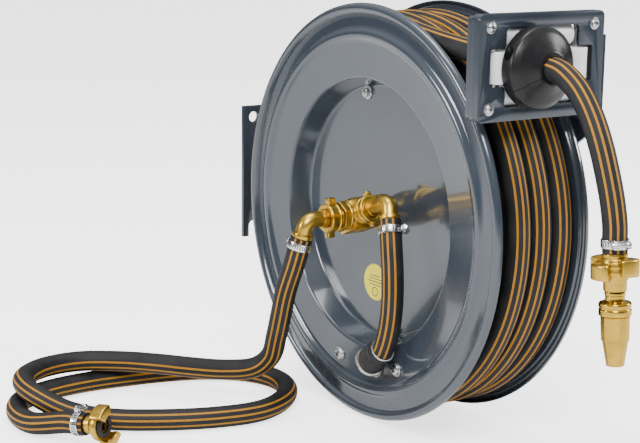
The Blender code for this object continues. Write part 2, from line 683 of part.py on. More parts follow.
def make_outlet_end():
    """The mated claw couplings, the nozzle's fixed stem and the sleeve that twists on it."""
    make_claw_half("hose_coupling", OUTLET_FACE - HANG * 0.00015, -HANG, 0, 0.0110, 0.0160)
    make_claw_half("nozzle_coupling", OUTLET_FACE + HANG * 0.00015, HANG, math.pi / 2,
                   0.0125, 0.0240)
    stem_top = OUTLET_FACE + HANG * 0.0245
    body = [(0.0112, 0), (0.0112, -0.0110), (0.0165, -0.0118), (0.0175, -0.0130),
            (0.0175, -0.0260), (0.0080, -0.0260), (0.0080, -0.0560), (0.0060, -0.0560),
            (0.0060, 0)]
    place(turned("nozzle_body", body, BRASS, steps=20, ring=True), stem_top, -HANG)
    sleeve_top = stem_top + HANG * 0.0263
    axis = add_axis("nozzle_axis", sleeve_top)
    sleeve = place(cylinder("nozzle_sleeve", 0.0160, 0.0270, BRASS, axis, 12, 0.0152),
                   sleeve_top, HANG)
    tip = place(cylinder("nozzle_tip", 0.0138, 0.0285, sides=12, top_radius=0.0098),
                sleeve_top + HANG * 0.0260, HANG)
    combine(sleeve, [tip], "UNION")
    combine(sleeve, [hole("sleeve_bore", sleeve_top, HANG, 0.0084, 0.14, 16)])


# The hoses outside the drum

def make_feed_hose():
    """The last turn leaves its channel on the drum and runs taut to the stopper's back."""
    middle_radius, channel = 0.2372, -0.0475
    stations = []
    for angle in (62, 71, 80, 89, 98.4):
        turn = math.radians(angle)
        stations.append(AXLE + Vector((channel, middle_radius * math.cos(turn),
                                       middle_radius * math.sin(turn))))
    for x, y, z in ((channel, -0.0750, 0.2286), (-0.0473, -0.1150, 0.2225),
                    (-0.0448, -0.1450, 0.2180), (-0.0392, -0.1750, 0.2135),
                    (-0.0312, -0.2050, 0.2091), (-0.0240, -0.2310, 0.2053)):
        stations.append(AXLE + Vector((x, y, z)))
    stations += [STOPPER - Vector((0, out, 0)) for out in (-0.0010, 0.0070, 0.0150)]
    tube("feed_hose", smooth_route(stations, 2), HOSE_RADIUS, RUBBER)


def make_outlet_hose():
    """The hose hangs from the stopper in its own bend, and a worm clamp closes its end."""
    hang = [(-0.3000, 0.1985), (-0.3230, 0.1835), (-0.3430, 0.1600), (-0.3590, 0.1310),
            (-0.3715, 0.1000), (-0.3800, 0.0740)]
    stations = ([STOPPER - Vector((0, out, 0)) for out in (0.0156, 0.0250, 0.0344)]
                + [AXLE + Vector((STOPPER.x, y, z)) for y, z in hang]
                + [OUTLET_FACE - HANG * out for out in (0.0464, 0.0314, 0.0164)])
    route = smooth_route(stations, 2)
    tube("outlet_hose", route, HOSE_RADIUS, RUBBER)
    spot, along = on_route(route[::-1], 0.0100)
    make_clamp("outlet_clamp", spot, along, 60)


def supply_stations():
    """The supply hose's own points: down to the surface, one turn on top, one turn below."""
    return [SUPPLY_START + INLET_DIRECTION * out for out in (0, 0.016, 0.032)] + [
        AXLE + Vector(p) for p in (
            (-0.1600, 0.0285, -0.0900), (-0.1545, 0.0480, -0.1260), (-0.1485, 0.0680, -0.1610),
            (-0.1460, 0.0850, -0.1920), (-0.1580, 0.1060, -0.2120), (-0.1830, 0.1370, -0.2190),
            (-0.2110, 0.1720, -0.2205), (-0.2430, 0.2120, -0.2205), (-0.2790, 0.2480, -0.2205),
            (-0.3250, 0.2760, -0.2205), (-0.3740, 0.2760, -0.2205), (-0.4130, 0.2510, -0.2205),
            (-0.4290, 0.2120, -0.2205), (-0.4240, 0.1720, -0.2265), (-0.4010, 0.1400, -0.2385),
            (-0.3590, 0.1170, -0.2480), (-0.3060, 0.0840, -0.2492), (-0.2450, 0.0570, -0.2492),
            (-0.1880, 0.0480, -0.2492), (-0.1400, 0.0680, -0.2492), (-0.1060, 0.1080, -0.2492),
            (-0.0980, 0.1560, -0.2492), (-0.1180, 0.2010, -0.2492), (-0.1580, 0.2340, -0.2492),
            (-0.2060, 0.2530, -0.2492), (-0.2580, 0.2640, -0.2492), (-0.3160, 0.2710, -0.2492),
            (-0.3740, 0.2660, -0.2492), (-0.4220, 0.2440, -0.2492), (-0.4450, 0.2010, -0.2492),
            (-0.4450, 0.1540, -0.2480))
    ] + [SUPPLY_END - SUPPLY_TAIL * out for out in (0.030, 0.015, 0)]


SUPPLY_END = AXLE + Vector((-0.4060, 0.0860, -0.2366))
SUPPLY_TAIL = Vector((0.50, -0.86, 0.07)).normalized()


def make_supply_hose():
    """The supply hose, clamped at both ends, with half a claw coupling and its seal."""
    route = smooth_route(supply_stations(), 2)
    tube("supply_hose", route, HOSE_RADIUS, RUBBER)
    spot, along = on_route(route, 0.0095)
    make_clamp("inlet_clamp", spot, along, 150)
    spot, along = on_route(route[::-1], 0.0100)
    make_clamp("supply_clamp", spot, along, 100)
    face = SUPPLY_END + SUPPLY_TAIL * 0.0230
    make_claw_half("supply_coupling", face, -SUPPLY_TAIL, math.radians(65), 0.0110, 0.0225)
    seal = [(0.0085, 0.0040), (0.0135, 0.0040), (0.0145, 0.0025), (0.0145, GAP), (0.0085, GAP)]
    place(turned("coupling_seal", seal, RUBBER, steps=20, ring=True), face, SUPPLY_TAIL)


# The hose stopper

def make_stopper():
    """Two clamped halves round the hose, too big to pass between the rollers."""
    length, bore = 0.0345, HOSE_RADIUS + 0.0012
    profile = [(bore, length), (0.0180, length), (0.0290, 0.0290), (0.0390, 0.0225),
               (0.0450, 0.0185), (0.0460, 0.0170), (0.0460, 0.0015), (0.0445, 0), (bore, 0)]
    split = Vector((-math.sin(math.radians(30)), 0, math.cos(math.radians(30))))
    along_split = Vector((math.cos(math.radians(30)), 0, math.sin(math.radians(30))))
    for name, side in (("stopper_upper", 1), ("stopper_lower", -1)):
        half = turned(name, profile, BLACK_PLASTIC, steps=24, ring=True)
        place(half, STOPPER, (0, -1, 0))
        away = block(name + "_trim", (0.14, 0.14, 0.10))
        place(away, STOPPER - split * side * (0.05 - GAP / 2), split)
        cuts = [away]
        for i, offset in enumerate((-0.028, 0.028)):
            middle = STOPPER + along_split * offset + split * side * 0.044
            middle.y -= 0.0090
            cuts.append(hole(f"{name}_screw_recess{i}", middle, split, 0.0055, 0.040, 12))
        combine(half, cuts)


clear_scene()
REEL = make_collection("hose_reel")
CUTTERS = make_collection("cutters")

make_wall_plate()
make_support_arm()
make_shaft()
make_guide_arm()
make_guide_box()
make_guide_plate()
make_guide_screws()
make_rollers()

DRUM = add_axis("drum_axis", AXLE)
make_flanges(DRUM)
make_core(DRUM)
make_pack(DRUM)
make_spring_motor(DRUM)
make_ratchet(DRUM)

make_inlet()
make_swivel(DRUM)
make_link(DRUM)

make_feed_hose()
make_stopper()
make_outlet_hose()
make_outlet_end()
make_supply_hose()
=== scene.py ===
"""A wall-mounted, spring-rewind hose reel: its looks, in the order the reel is built."""
import json
import math

import bmesh
import bpy
from mathutils import Matrix, Vector


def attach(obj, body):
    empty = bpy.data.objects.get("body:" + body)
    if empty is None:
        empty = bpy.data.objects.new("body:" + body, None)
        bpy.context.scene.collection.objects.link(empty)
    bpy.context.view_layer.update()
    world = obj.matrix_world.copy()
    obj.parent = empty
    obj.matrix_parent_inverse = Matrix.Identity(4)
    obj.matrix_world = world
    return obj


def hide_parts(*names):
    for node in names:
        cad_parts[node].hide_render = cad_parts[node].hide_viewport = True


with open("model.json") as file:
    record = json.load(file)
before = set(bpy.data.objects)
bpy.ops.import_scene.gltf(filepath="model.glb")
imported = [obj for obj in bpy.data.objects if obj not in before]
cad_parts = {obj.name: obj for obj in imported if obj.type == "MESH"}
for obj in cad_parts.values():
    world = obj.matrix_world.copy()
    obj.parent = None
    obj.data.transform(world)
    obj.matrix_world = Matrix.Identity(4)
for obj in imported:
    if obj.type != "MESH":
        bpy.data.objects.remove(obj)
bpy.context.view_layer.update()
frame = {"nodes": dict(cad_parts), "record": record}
NODES = frame["nodes"]
AXLE = Vector((0, -0.330, 0))

# Camera: stands in front and to the left of the reel, a little above the axle,
# with a long lens, so that the face of the drum and the hose guide both show.
camera_data = bpy.data.cameras.new("camera")
camera_data.lens = 84.865
camera_data.clip_start, camera_data.clip_end = 0.1, 50
camera = bpy.data.objects.new("camera", camera_data)
camera.location = (-1.15079, -1.81621, 0.37052)
camera.rotation_euler = [math.radians(a) for a in (78.29097, -0.67988, -34.33548)]
bpy.context.scene.collection.objects.link(camera)
bpy.context.scene.camera = camera


# Hoses: 19 mm bore rubber hose, 27 mm across, black with two groups of three ochre
# stripes moulded along it. Each is a ring carried along its route, skinned and capped.
HOSE_RADIUS = 0.0135


def smooth_route(stations, per_span=8):
    """A smooth curve through a route's own points, read at equal steps between them."""
    stations = [Vector(s) for s in stations]
    padded = [2 * stations[0] - stations[1], *stations, 2 * stations[-1] - stations[-2]]
    route = []
    for a, b, c, d in zip(padded, padded[1:], padded[2:], padded[3:]):
        for i in range(per_span):
            t = i / per_span
            route.append(0.5 * (2 * b + (c - a) * t + (2 * a - 5 * b + 4 * c - d) * t ** 2
                                + (3 * b - a - 3 * c + d) * t ** 3))
    return route + [stations[-1]]


def on_route(route, distance):
    """The point at a distance from the route's start, and the direction the route has there."""
    for a, b in zip(route, route[1:]):
        length = (b - a).length
        if distance <= length:
            break
        distance -= length
    return a + (b - a) * distance / length, (b - a).normalized()


def add_object(name, shape):
    """Makes an object of a finished shape, at the origin."""
    mesh = bpy.data.meshes.new(name)
    shape.to_mesh(mesh)
    shape.free()
    made = bpy.data.objects.new(name, mesh)
    bpy.context.scene.collection.objects.link(made)
    return made


def add_piece(name, shape, body, material, replaced=(), crease=35):
    """Makes a piece that shows, with its creases and finish, and hangs it on its body."""
    piece = add_object(name, shape)
    piece.data.shade_smooth()
    piece.data.set_sharp_from_angle(angle=math.radians(crease))
    piece.data.materials.append(material)
    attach(piece, body)
    if replaced:
        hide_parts(*replaced)
    return piece


def hose_shape(route, facing, closed=False, radius=HOSE_RADIUS, sides=28):
    """A striped hose: the middle of one group of stripes starts out facing the given way."""
    shape = bmesh.new()
    stripes = shape.loops.layers.uv.new("hose")
    normal, rings, along = Vector(facing), [], [0]
    for i, point in enumerate(route):
        before = route[i - 1] if i or closed else point
        after = route[(i + 1) % len(route)] if i + 1 < len(route) or closed else point
        run = (after - before).normalized()
        normal = (normal - run * normal.dot(run)).normalized()
        if i:
            along.append(along[-1] + (point - route[i - 1]).length)
        turn = Matrix((run.cross(normal), normal, run)).transposed().to_4x4()
        ring = bmesh.ops.create_circle(shape, segments=sides, radius=radius,
                                       matrix=Matrix.Translation(point) @ turn)
        rings.append(ring["verts"])
    if closed:
        rings.append(rings[0])
        along.append(along[-1] + (route[0] - route[-1]).length)
    for i, (low, high) in enumerate(zip(rings, rings[1:])):
        for j in range(sides):
            k = (j + 1) % sides
            face = shape.faces.new((low[j], low[k], high[k], high[j]))
            corners = ((j, i), (j + 1, i), (j + 1, i + 1), (j, i + 1))
            for loop, (u, v) in zip(face.loops, corners):
                loop[stripes].uv = (u / sides, along[v])
    if not closed:
        for ring in (rings[0], rings[-1]):
            cap = shape.faces.new(ring)
            for loop in cap.loops:
                loop[stripes].uv = (0.25, 0)
    bmesh.ops.recalc_face_normals(shape, faces=shape.faces)
    return shape


def add_node(tree, kind, settings=(), **inputs):
    """A shader node with its settings and its inputs' values."""
    made = tree.nodes.new(kind)
    for name, value in dict(settings).items():
        setattr(made, name, value)
    for name, value in inputs.items():
        made.inputs[name.replace("_", " ")].default_value = value
    return made


def make_grain_group():
    """Fine grain as a bump, and slow patches as a tone, both over the surface of a piece."""
    group = bpy.data.node_groups.new("surface_grain", "ShaderNodeTree")
    for name, start in (("Grain scale", 900.0), ("Grain depth", 0.0001), ("Patch scale", 14.0),
                        ("Strength", 0.5)):
        socket = group.interface.new_socket(name, in_out="INPUT", socket_type="NodeSocketFloat")
        socket.default_value = start
    group.interface.new_socket("Tone", in_out="OUTPUT", socket_type="NodeSocketFloat")
    group.interface.new_socket("Grain", in_out="OUTPUT", socket_type="NodeSocketFloat")
    group.interface.new_socket("Normal", in_out="OUTPUT", socket_type="NodeSocketVector")
    put, link = group.nodes.new, group.links.new
    given, out = put("NodeGroupInput"), put("NodeGroupOutput")
    where = put("ShaderNodeTexCoord")
    fine = add_node(group, "ShaderNodeTexNoise", Detail=3.0, Roughness=0.6)
    slow = add_node(group, "ShaderNodeTexNoise", Detail=4.0, Roughness=0.55)
    bump = put("ShaderNodeBump")
    for noise, scale in ((fine, "Grain scale"), (slow, "Patch scale")):
        link(where.outputs["Object"], noise.inputs["Vector"])
        link(given.outputs[scale], noise.inputs["Scale"])
    link(fine.outputs["Fac"], bump.inputs["Height"])
    link(given.outputs["Grain depth"], bump.inputs["Distance"])
    link(given.outputs["Strength"], bump.inputs["Strength"])
    link(slow.outputs["Fac"], out.inputs["Tone"])
    link(fine.outputs["Fac"], out.inputs["Grain"])
    link(bump.outputs["Normal"], out.inputs["Normal"])
    return group


SURFACE_GRAIN = make_grain_group()


def make_finish(name, dark, light, rough, metallic=0.0, grain=900.0, depth=0.0001,
                patch=14.0, strength=0.5, coat=0.0, shine=0.5):
    """A finish whose colour and gloss drift slowly between two values over a fine grain."""
    material = bpy.data.materials.new(name)
    material.use_nodes = True
    tree = material.node_tree
    shader = tree.nodes["Principled BSDF"]
    shader.inputs["Metallic"].default_value = metallic
    shader.inputs["Specular IOR Level"].default_value = shine
    shader.inputs["Coat Weight"].default_value = coat
    shader.inputs["Coat Roughness"].default_value = 0.06
    surface = tree.nodes.new("ShaderNodeGroup")
    surface.node_tree = SURFACE_GRAIN
    for socket, value in (("Grain scale", grain), ("Grain depth", depth), ("Patch scale", patch),
                          ("Strength", strength)):
        surface.inputs[socket].default_value = value
    spread = add_node(tree, "ShaderNodeMapRange", From_Min=0.35, From_Max=0.65)
    colour = add_node(tree, "ShaderNodeMix", {"data_type": "RGBA"})
    colour.inputs[6].default_value = (*dark, 1)
    colour.inputs[7].default_value = (*light, 1)
    gloss = add_node(tree, "ShaderNodeMapRange", From_Min=0.3, From_Max=0.7, To_Min=rough[0],
                     To_Max=rough[1])
    tree.links.new(surface.outputs["Tone"], spread.inputs["Value"])
    tree.links.new(spread.outputs["Result"], colour.inputs["Factor"])
    tree.links.new(colour.outputs[2], shader.inputs["Base Color"])
    tree.links.new(surface.outputs["Tone"], gloss.inputs["Value"])
    tree.links.new(gloss.outputs["Result"], shader.inputs["Roughness"])
    tree.links.new(surface.outputs["Normal"], shader.inputs["Normal"])
    return material


def make_striped_rubber():
    """Black rubber with two groups of three ochre stripes, 2.6 mm wide and slightly proud."""
    material = make_finish("striped_rubber", (0.009, 0.009, 0.010), (0.017, 0.017, 0.018),
                           (0.50, 0.68), grain=2600.0, depth=0.00012, patch=30.0, strength=0.4,
                           shine=0.22)
    tree = material.node_tree
    shader = tree.nodes["Principled BSDF"]
    black = shader.inputs["Base Color"].links[0].from_socket
    layout = add_node(tree, "ShaderNodeUVMap", {"uv_map": "hose"})
    parts = tree.nodes.new("ShaderNodeSeparateXYZ")
    tree.links.new(layout.outputs["UV"], parts.inputs[0])

    def maths(operation, first, second=0.0, third=0.0):
        step = tree.nodes.new("ShaderNodeMath")
        step.operation = operation
        for socket, value in zip(step.inputs, (first, second, third)):
            if isinstance(value, float):
                socket.default_value = value
            else:
                tree.links.new(value, socket)
        return step.outputs[0]

    from_middle = maths("ABSOLUTE", maths("WRAP", parts.outputs["X"], 0.25, -0.25))
    from_outer = maths("ABSOLUTE", maths("SUBTRACT", from_middle, 0.0920))
    nearest = maths("MINIMUM", from_middle, from_outer)
    stripe = add_node(tree, "ShaderNodeMapRange", From_Min=0.0165, From_Max=0.0140)
    tree.links.new(nearest, stripe.inputs["Value"])
    fleck = add_node(tree, "ShaderNodeTexNoise", Scale=700.0, Detail=2.0)
    worn = add_node(tree, "ShaderNodeMapRange", From_Min=0.25, From_Max=0.6, To_Min=0.72,
                    To_Max=1.0)
    tree.links.new(tree.nodes.new("ShaderNodeTexCoord").outputs["Object"], fleck.inputs["Vector"])
    tree.links.new(fleck.outputs["Fac"], worn.inputs["Value"])
    cover = maths("MULTIPLY", stripe.outputs["Result"], worn.outputs["Result"])
    colour = add_node(tree, "ShaderNodeMix", {"data_type": "RGBA"})
    colour.inputs[7].default_value = (0.36, 0.160, 0.008, 1)
    tree.links.new(cover, colour.inputs["Factor"])
    tree.links.new(black, colour.inputs[6])
    tree.links.new(colour.outputs[2], shader.inputs["Base Color"])
    ridge = add_node(tree, "ShaderNodeBump", Strength=0.6, Distance=0.0004)
    grain = shader.inputs["Normal"].links[0].from_socket
    tree.links.new(stripe.outputs["Result"], ridge.inputs["Height"])
    tree.links.new(grain, ridge.inputs["Normal"])
    tree.links.new(ridge.outputs["Normal"], shader.inputs["Normal"])
    return material


STRIPED_RUBBER = make_striped_rubber()


# Supply hose: a short lead from the swivel down to the floor, where it lies in one loose
# turn and a bit. It is clamped on a barbed elbow at the top and on half a claw coupling.
def on_axle(x):
    return AXLE + Vector((x, 0, 0))


SWIVEL_INLET = on_axle(-0.1500)
INLET_DIRECTION = Vector((-0.20, 0.16, -0.96)).normalized()
SUPPLY_START = SWIVEL_INLET + INLET_DIRECTION * 0.0225
SUPPLY_END = AXLE + Vector((-0.4060, 0.0860, -0.2366))
SUPPLY_TAIL = Vector((0.50, -0.86, 0.07)).normalized()
SUPPLY_ROUTE = smooth_route(
    [SUPPLY_START + INLET_DIRECTION * out for out in (0, 0.016, 0.032)]
    + [AXLE + Vector(p) for p in (
        (-0.1600, 0.0285, -0.0900), (-0.1545, 0.0480, -0.1260), (-0.1485, 0.0680, -0.1610),
        (-0.1460, 0.0850, -0.1920), (-0.1580, 0.1060, -0.2120), (-0.1830, 0.1370, -0.2190),
        (-0.2110, 0.1720, -0.2205), (-0.2430, 0.2120, -0.2205), (-0.2790, 0.2480, -0.2205),
        (-0.3250, 0.2760, -0.2205), (-0.3740, 0.2760, -0.2205), (-0.4130, 0.2510, -0.2205),
        (-0.4290, 0.2120, -0.2205), (-0.4240, 0.1720, -0.2265), (-0.4010, 0.1400, -0.2385),
        (-0.3590, 0.1170, -0.2480), (-0.3060, 0.0840, -0.2492), (-0.2450, 0.0570, -0.2492),
        (-0.1880, 0.0480, -0.2492), (-0.1400, 0.0680, -0.2492), (-0.1060, 0.1080, -0.2492),
        (-0.0980, 0.1560, -0.2492), (-0.1180, 0.2010, -0.2492), (-0.1580, 0.2340, -0.2492),
        (-0.2060, 0.2530, -0.2492), (-0.2580, 0.2640, -0.2492), (-0.3160, 0.2710, -0.2492),
        (-0.3740, 0.2660, -0.2492), (-0.4220, 0.2440, -0.2492), (-0.4450, 0.2010, -0.2492),
        (-0.4450, 0.1540, -0.2480))]
    + [SUPPLY_END - SUPPLY_TAIL * out for out in (0.030, 0.015, 0)])
supply_hose = add_piece("supply_hose_striped", hose_shape(SUPPLY_ROUTE, (-0.56, -0.83, 0)),
                        "frame", STRIPED_RUBBER, ["supply_hose"])


# Outlet hose: the end of the wound hose, hanging in its own bend from the stopper, with a
# stainless worm clamp on the tail of a claw coupling at its end.
STOPPER = Vector((-0.020, -0.5776, 0.203))
OUTLET_FACE = AXLE + Vector((-0.020, -0.3886, 0.0045))
HANG = Vector((0, -0.074, -1)).normalized()
OUTLET_ROUTE = smooth_route(
    [STOPPER - Vector((0, out, 0)) for out in (0.0156, 0.0250, 0.0344)]
    + [AXLE + Vector((STOPPER.x, y, z)) for y, z in (
        (-0.3000, 0.1985), (-0.3230, 0.1835), (-0.3430, 0.1600), (-0.3590, 0.1310),
        (-0.3715, 0.1000), (-0.3800, 0.0740))]
    + [OUTLET_FACE - HANG * out for out in (0.0464, 0.0314, 0.0164)])
outlet_hose = add_piece("outlet_hose_striped", hose_shape(OUTLET_ROUTE, (-0.50, 0, 0.86)),
                        "frame", STRIPED_RUBBER, ["outlet_hose"])


# Feed strand: the last turn of the wound hose. It climbs out of the layer below it at the
# back of the drum, runs round in its own channel, and leaves at the top for the guide.
FEED_X, FEED_RADIUS = -0.0475, 0.2372
RISE_X, SECOND_LAYER = -0.0360, 0.2105


def round_axle(x, radius, turn):
    """A point at a radius from the axle; the turn runs from the wall's side, upwards."""
    return AXLE + Vector((x, radius * math.cos(turn), radius * math.sin(turn)))


def feed_point(angle):
    """A point of the strand's turn, as it climbs out of the turn below and moves aside."""
    climb = min(max((angle + 60) / 75, 0), 1)
    climb = climb * climb * (3 - 2 * climb)
    aside = min(climb * 1.7, 1)
    return round_axle(RISE_X + (FEED_X - RISE_X) * aside,
                      SECOND_LAYER + (FEED_RADIUS - SECOND_LAYER) * climb, math.radians(angle))


FEED_ROUTE = smooth_route(
    [feed_point(-62 + 10.025 * i) for i in range(17)]
    + [AXLE + Vector(p) for p in (
        (FEED_X, -0.0750, 0.2286), (-0.0473, -0.1150, 0.2225), (-0.0448, -0.1450, 0.2180),
        (-0.0392, -0.1750, 0.2135), (-0.0312, -0.2050, 0.2091), (-0.0240, -0.2310, 0.2053))]
    + [STOPPER - Vector((0, out, 0)) for out in (-0.0010, 0.0070, 0.0150)], 6)
add_piece("feed_hose_striped", hose_shape(FEED_ROUTE, (0, 0.47, -0.88)), "frame",
          STRIPED_RUBBER, ["feed_hose"])


# Wound hose: about 16 m on the drum in three layers. The turns that can be seen are
# whole rings of hose, and a plain core stands in for the turns buried below them.
def add_wound_hose():
    outer_layer, points = 0.2365, 120
    turns = [(-0.0186, outer_layer, 14), (0.0127, outer_layer, 20), (0.0445, outer_layer, 8),
             (RISE_X, SECOND_LAYER, 40), (-0.0040, SECOND_LAYER, -30),
             (0.0280, SECOND_LAYER, 75), (0.0475, SECOND_LAYER, 10)]
    for i, (x, radius, lean) in enumerate(turns):
        facing = (-math.sin(math.radians(lean)), math.cos(math.radians(lean)), 0)
        ring = [round_axle(x, radius, 2 * math.pi * step / points) for step in range(points)]
        shape = hose_shape(ring, facing, closed=True, sides=24)
        piece = add_piece(f"wound_turn_{i + 1}", shape, "drum", STRIPED_RUBBER)
        if i == 0:
            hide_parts("hose_pack")


add_wound_hose()


# Buried turns: the first turns of the same rubber hose, which lie between the drum's core
# and the turns that show. They are drawn as one plain black ring with rounded corners.
BLACK_RUBBER = make_finish("moulded_rubber", (0.010, 0.010, 0.011), (0.020, 0.020, 0.021),
                           (0.40, 0.58), grain=1800.0, depth=0.00015, patch=40.0, shine=0.25)


def ease(points, radius, closed=False):
    """Rounds the corners of a profile a little, so that its edges catch the light."""
    rounded = []
    last = len(points) - 1
    for i, point in enumerate(points):
        if not closed and i in (0, last):
            rounded.append(tuple(point))
            continue
        here = Vector(point)
        before, after = Vector(points[i - 1]), Vector(points[(i + 1) % len(points)])
        back, on = before - here, after - here
        cut = min(radius, back.length * 0.45, on.length * 0.45)
        start, end = here + back.normalized() * cut, here + on.normalized() * cut
        rounded += [tuple(start), tuple((start + 2 * here + end) / 4), tuple(end)]
    return rounded


def placed(centre, axis):
    """Moves a shape made about Z to a centre, with its Z along an axis."""
    return Matrix.Translation(centre) @ Vector(axis).to_track_quat("Z", "Y").to_matrix().to_4x4()


def lathe_shape(profile, easing, centre, axis, steps=64, closed=True):
    """A profile of (radius, height) points, eased and spun once round its axis."""
    shape = bmesh.new()
    if easing:
        profile = ease(profile, easing, closed)
    points = [shape.verts.new((radius, 0, height)) for radius, height in profile]
    loop = points + points[:1] if closed else points
    edges = [shape.edges.new(pair) for pair in zip(loop, loop[1:])]
    bmesh.ops.spin(shape, geom=points + edges, cent=(0, 0, 0), axis=(0, 0, 1),
                   angle=2 * math.pi, steps=steps, use_merge=True)
    bmesh.ops.remove_doubles(shape, verts=shape.verts, dist=0.000001)
    bmesh.ops.recalc_face_normals(shape, faces=shape.faces)
    shape.transform(placed(centre, axis))
    return shape


TO_REAR = (1, 0, 0)
BURIED = [(0.2080, 0.0600), (0.2080, -0.0600), (0.1740, -0.0600), (0.1740, 0.0600)]
add_piece("buried_turns", lathe_shape(BURIED, 0.012, AXLE, TO_REAR, 96), "drum",
          BLACK_RUBBER)


# Flanges: two discs of 1.8 mm steel sheet, pressed with a deep recess, a stiffening rib and
# a rolled rim, and finished in glossy slate-grey powder coat.
FLANGE_PAINT = make_finish("slate_powder_coat", (0.034, 0.044, 0.058), (0.041, 0.052, 0.067),
                           (0.12, 0.18), metallic=0.15, grain=420.0, depth=0.00006, patch=9.0,
                           strength=0.25, coat=0.6)


def arc(centre, radius, start, end, count):
    """Points on a circle, from one angle to another, in degrees."""
    angles = [math.radians(start + (end - start) * i / (count - 1)) for i in range(count)]
    return [(centre[0] + radius * math.cos(a), centre[1] + radius * math.sin(a)) for a in angles]


def flange_profile():
    """The outer face from the centre hole to the rim, then back along the inner face."""
    thickness = 0.0018
    face = [(0.0138, 0.0360)] + arc((0.1560, 0.0400), 0.0040, -90, -15, 5)
    face += arc((0.1715, 0.0610), 0.0042, 165, 95, 5)
    face += [(0.2105, 0.0652)]
    face += arc((0.2220, 0.0612), 0.0088, 140, 40, 9)
    face += [(0.2335, 0.0652), (0.2470, 0.0652)]
    face += arc((0.2535, 0.0648), 0.0062, 165, 0, 11)
    face += [(0.2600, 0.0632)]
    inner = []
    for i, point in enumerate(face):
        before, after = Vector(face[max(i - 1, 0)]), Vector(face[min(i + 1, len(face) - 1)])
        run = (after - before).normalized()
        inner.append((point[0] + run.y * thickness, point[1] - run.x * thickness))
    return face + inner[::-1]


def add_flanges():
    for name, side in (("front_flange", -1), ("rear_flange", 1)):
        shape = lathe_shape(flange_profile(), 0, AXLE, (side, 0, 0), 144)
        add_piece(name + "_pressed", shape, "drum", FLANGE_PAINT, [name], 40)


add_flanges()


# Drum bolts: four zinc-plated screws and washers near the edge of the recess, which clamp
# the two flanges together over the core.
ZINC = make_finish("zinc_plate", (0.42, 0.43, 0.44), (0.62, 0.63, 0.64), (0.22, 0.38), 1.0,
                   grain=1400.0, depth=0.00006, patch=60.0, strength=0.4)


def join_shapes(shapes):
    """Several shapes as one bmesh."""
    whole = bmesh.new()
    for shape in shapes:
        mesh = bpy.data.meshes.new("part")
        shape.to_mesh(mesh)
        shape.free()
        whole.from_mesh(mesh)
        bpy.data.meshes.remove(mesh)
    return whole


def round_edges(shape, edges, offset):
    bmesh.ops.bevel(shape, geom=edges, offset=offset, segments=2, profile=0.5,
                    affect="EDGES", material=-1)


def prism_shape(radius, length, sides, centre, axis, bevel):
    """A prism with flat sides and slightly rounded edges."""
    shape = bmesh.new()
    bmesh.ops.create_cone(shape, cap_ends=True, segments=sides, radius1=radius, radius2=radius,
                          depth=length, matrix=Matrix.Translation((0, 0, length / 2)))
    round_edges(shape, shape.edges[:], bevel)
    shape.transform(placed(centre, axis))
    return shape


def box_shape(size, transform, bevel=0.0005):
    shape = bmesh.new()
    bmesh.ops.create_cube(shape, size=1, matrix=Matrix.Diagonal((*size, 1)))
    round_edges(shape, shape.edges[:], bevel)
    shape.transform(transform)
    return shape


def bolt_shape(centre, axis, hex_radius, head, washer_radius):
    """A hexagon head on a washer, standing on a face."""
    out = Vector(axis).normalized()
    washer = [(0, 0), (washer_radius, 0), (washer_radius, 0.0014), (0, 0.0014)]
    tip = [(0, 0.0014 + head), (hex_radius * 0.45, 0.0014 + head),
           (hex_radius * 0.45, 0.0030 + head), (0, 0.0032 + head)]
    return join_shapes([
        lathe_shape(washer, 0.0004, centre, axis, 32, False),
        prism_shape(hex_radius, head, 6, centre + out * 0.0013, axis, 0.0006),
        lathe_shape(tip, 0.0003, centre, axis, 24, False)])


TO_FRONT = (-1, 0, 0)
for number, angle in enumerate((77, 167, 257, -13)):
    add_piece(f"drum_bolt_{number + 1}",
              bolt_shape(round_axle(-0.0361, 0.150, math.radians(angle)), TO_FRONT, 0.0062,
                         0.0050, 0.0085), "drum", ZINC)


# Round label: a yellow vinyl sticker, 47 mm across, stuck on the floor of the recess below
# the swivel, with a plain dark ring and four bars printed on it.
def add_label():
    material = make_finish("yellow_vinyl", (0.80, 0.66, 0.005), (0.86, 0.72, 0.01),
                           (0.30, 0.42), grain=600.0, depth=0.00002, patch=20.0)
    ink = make_finish("label_ink", (0.03, 0.03, 0.03), (0.05, 0.05, 0.05), (0.35, 0.5),
                      grain=600.0, depth=0.00002)
    centre = AXLE + Vector((-0.0361, 0.011, -0.094))
    disc = [(0, 0), (0.0235, 0), (0.0235, 0.0002), (0, 0.0003)]
    add_piece("round_label", lathe_shape(disc, 0, centre, TO_FRONT, 64, False), "drum",
              material)
    marks = []
    for row, width in ((0.0085, 0.020), (0.0045, 0.026), (0.0005, 0.030), (-0.0035, 0.024)):
        marks.append(box_shape((0.0001, width, 0.0011),
                               Matrix.Translation(centre + Vector((-0.00036, 0, row))), 0.00001))
    ring = [(0.0050, 0.0003), (0.0062, 0.0003), (0.0062, 0.0004), (0.0050, 0.0004)]
    marks.append(lathe_shape(ring, 0, centre + Vector((0, 0, -0.0125)), TO_FRONT, 32))
    add_piece("label_marks", join_shapes(marks), "drum", ink)


add_label()


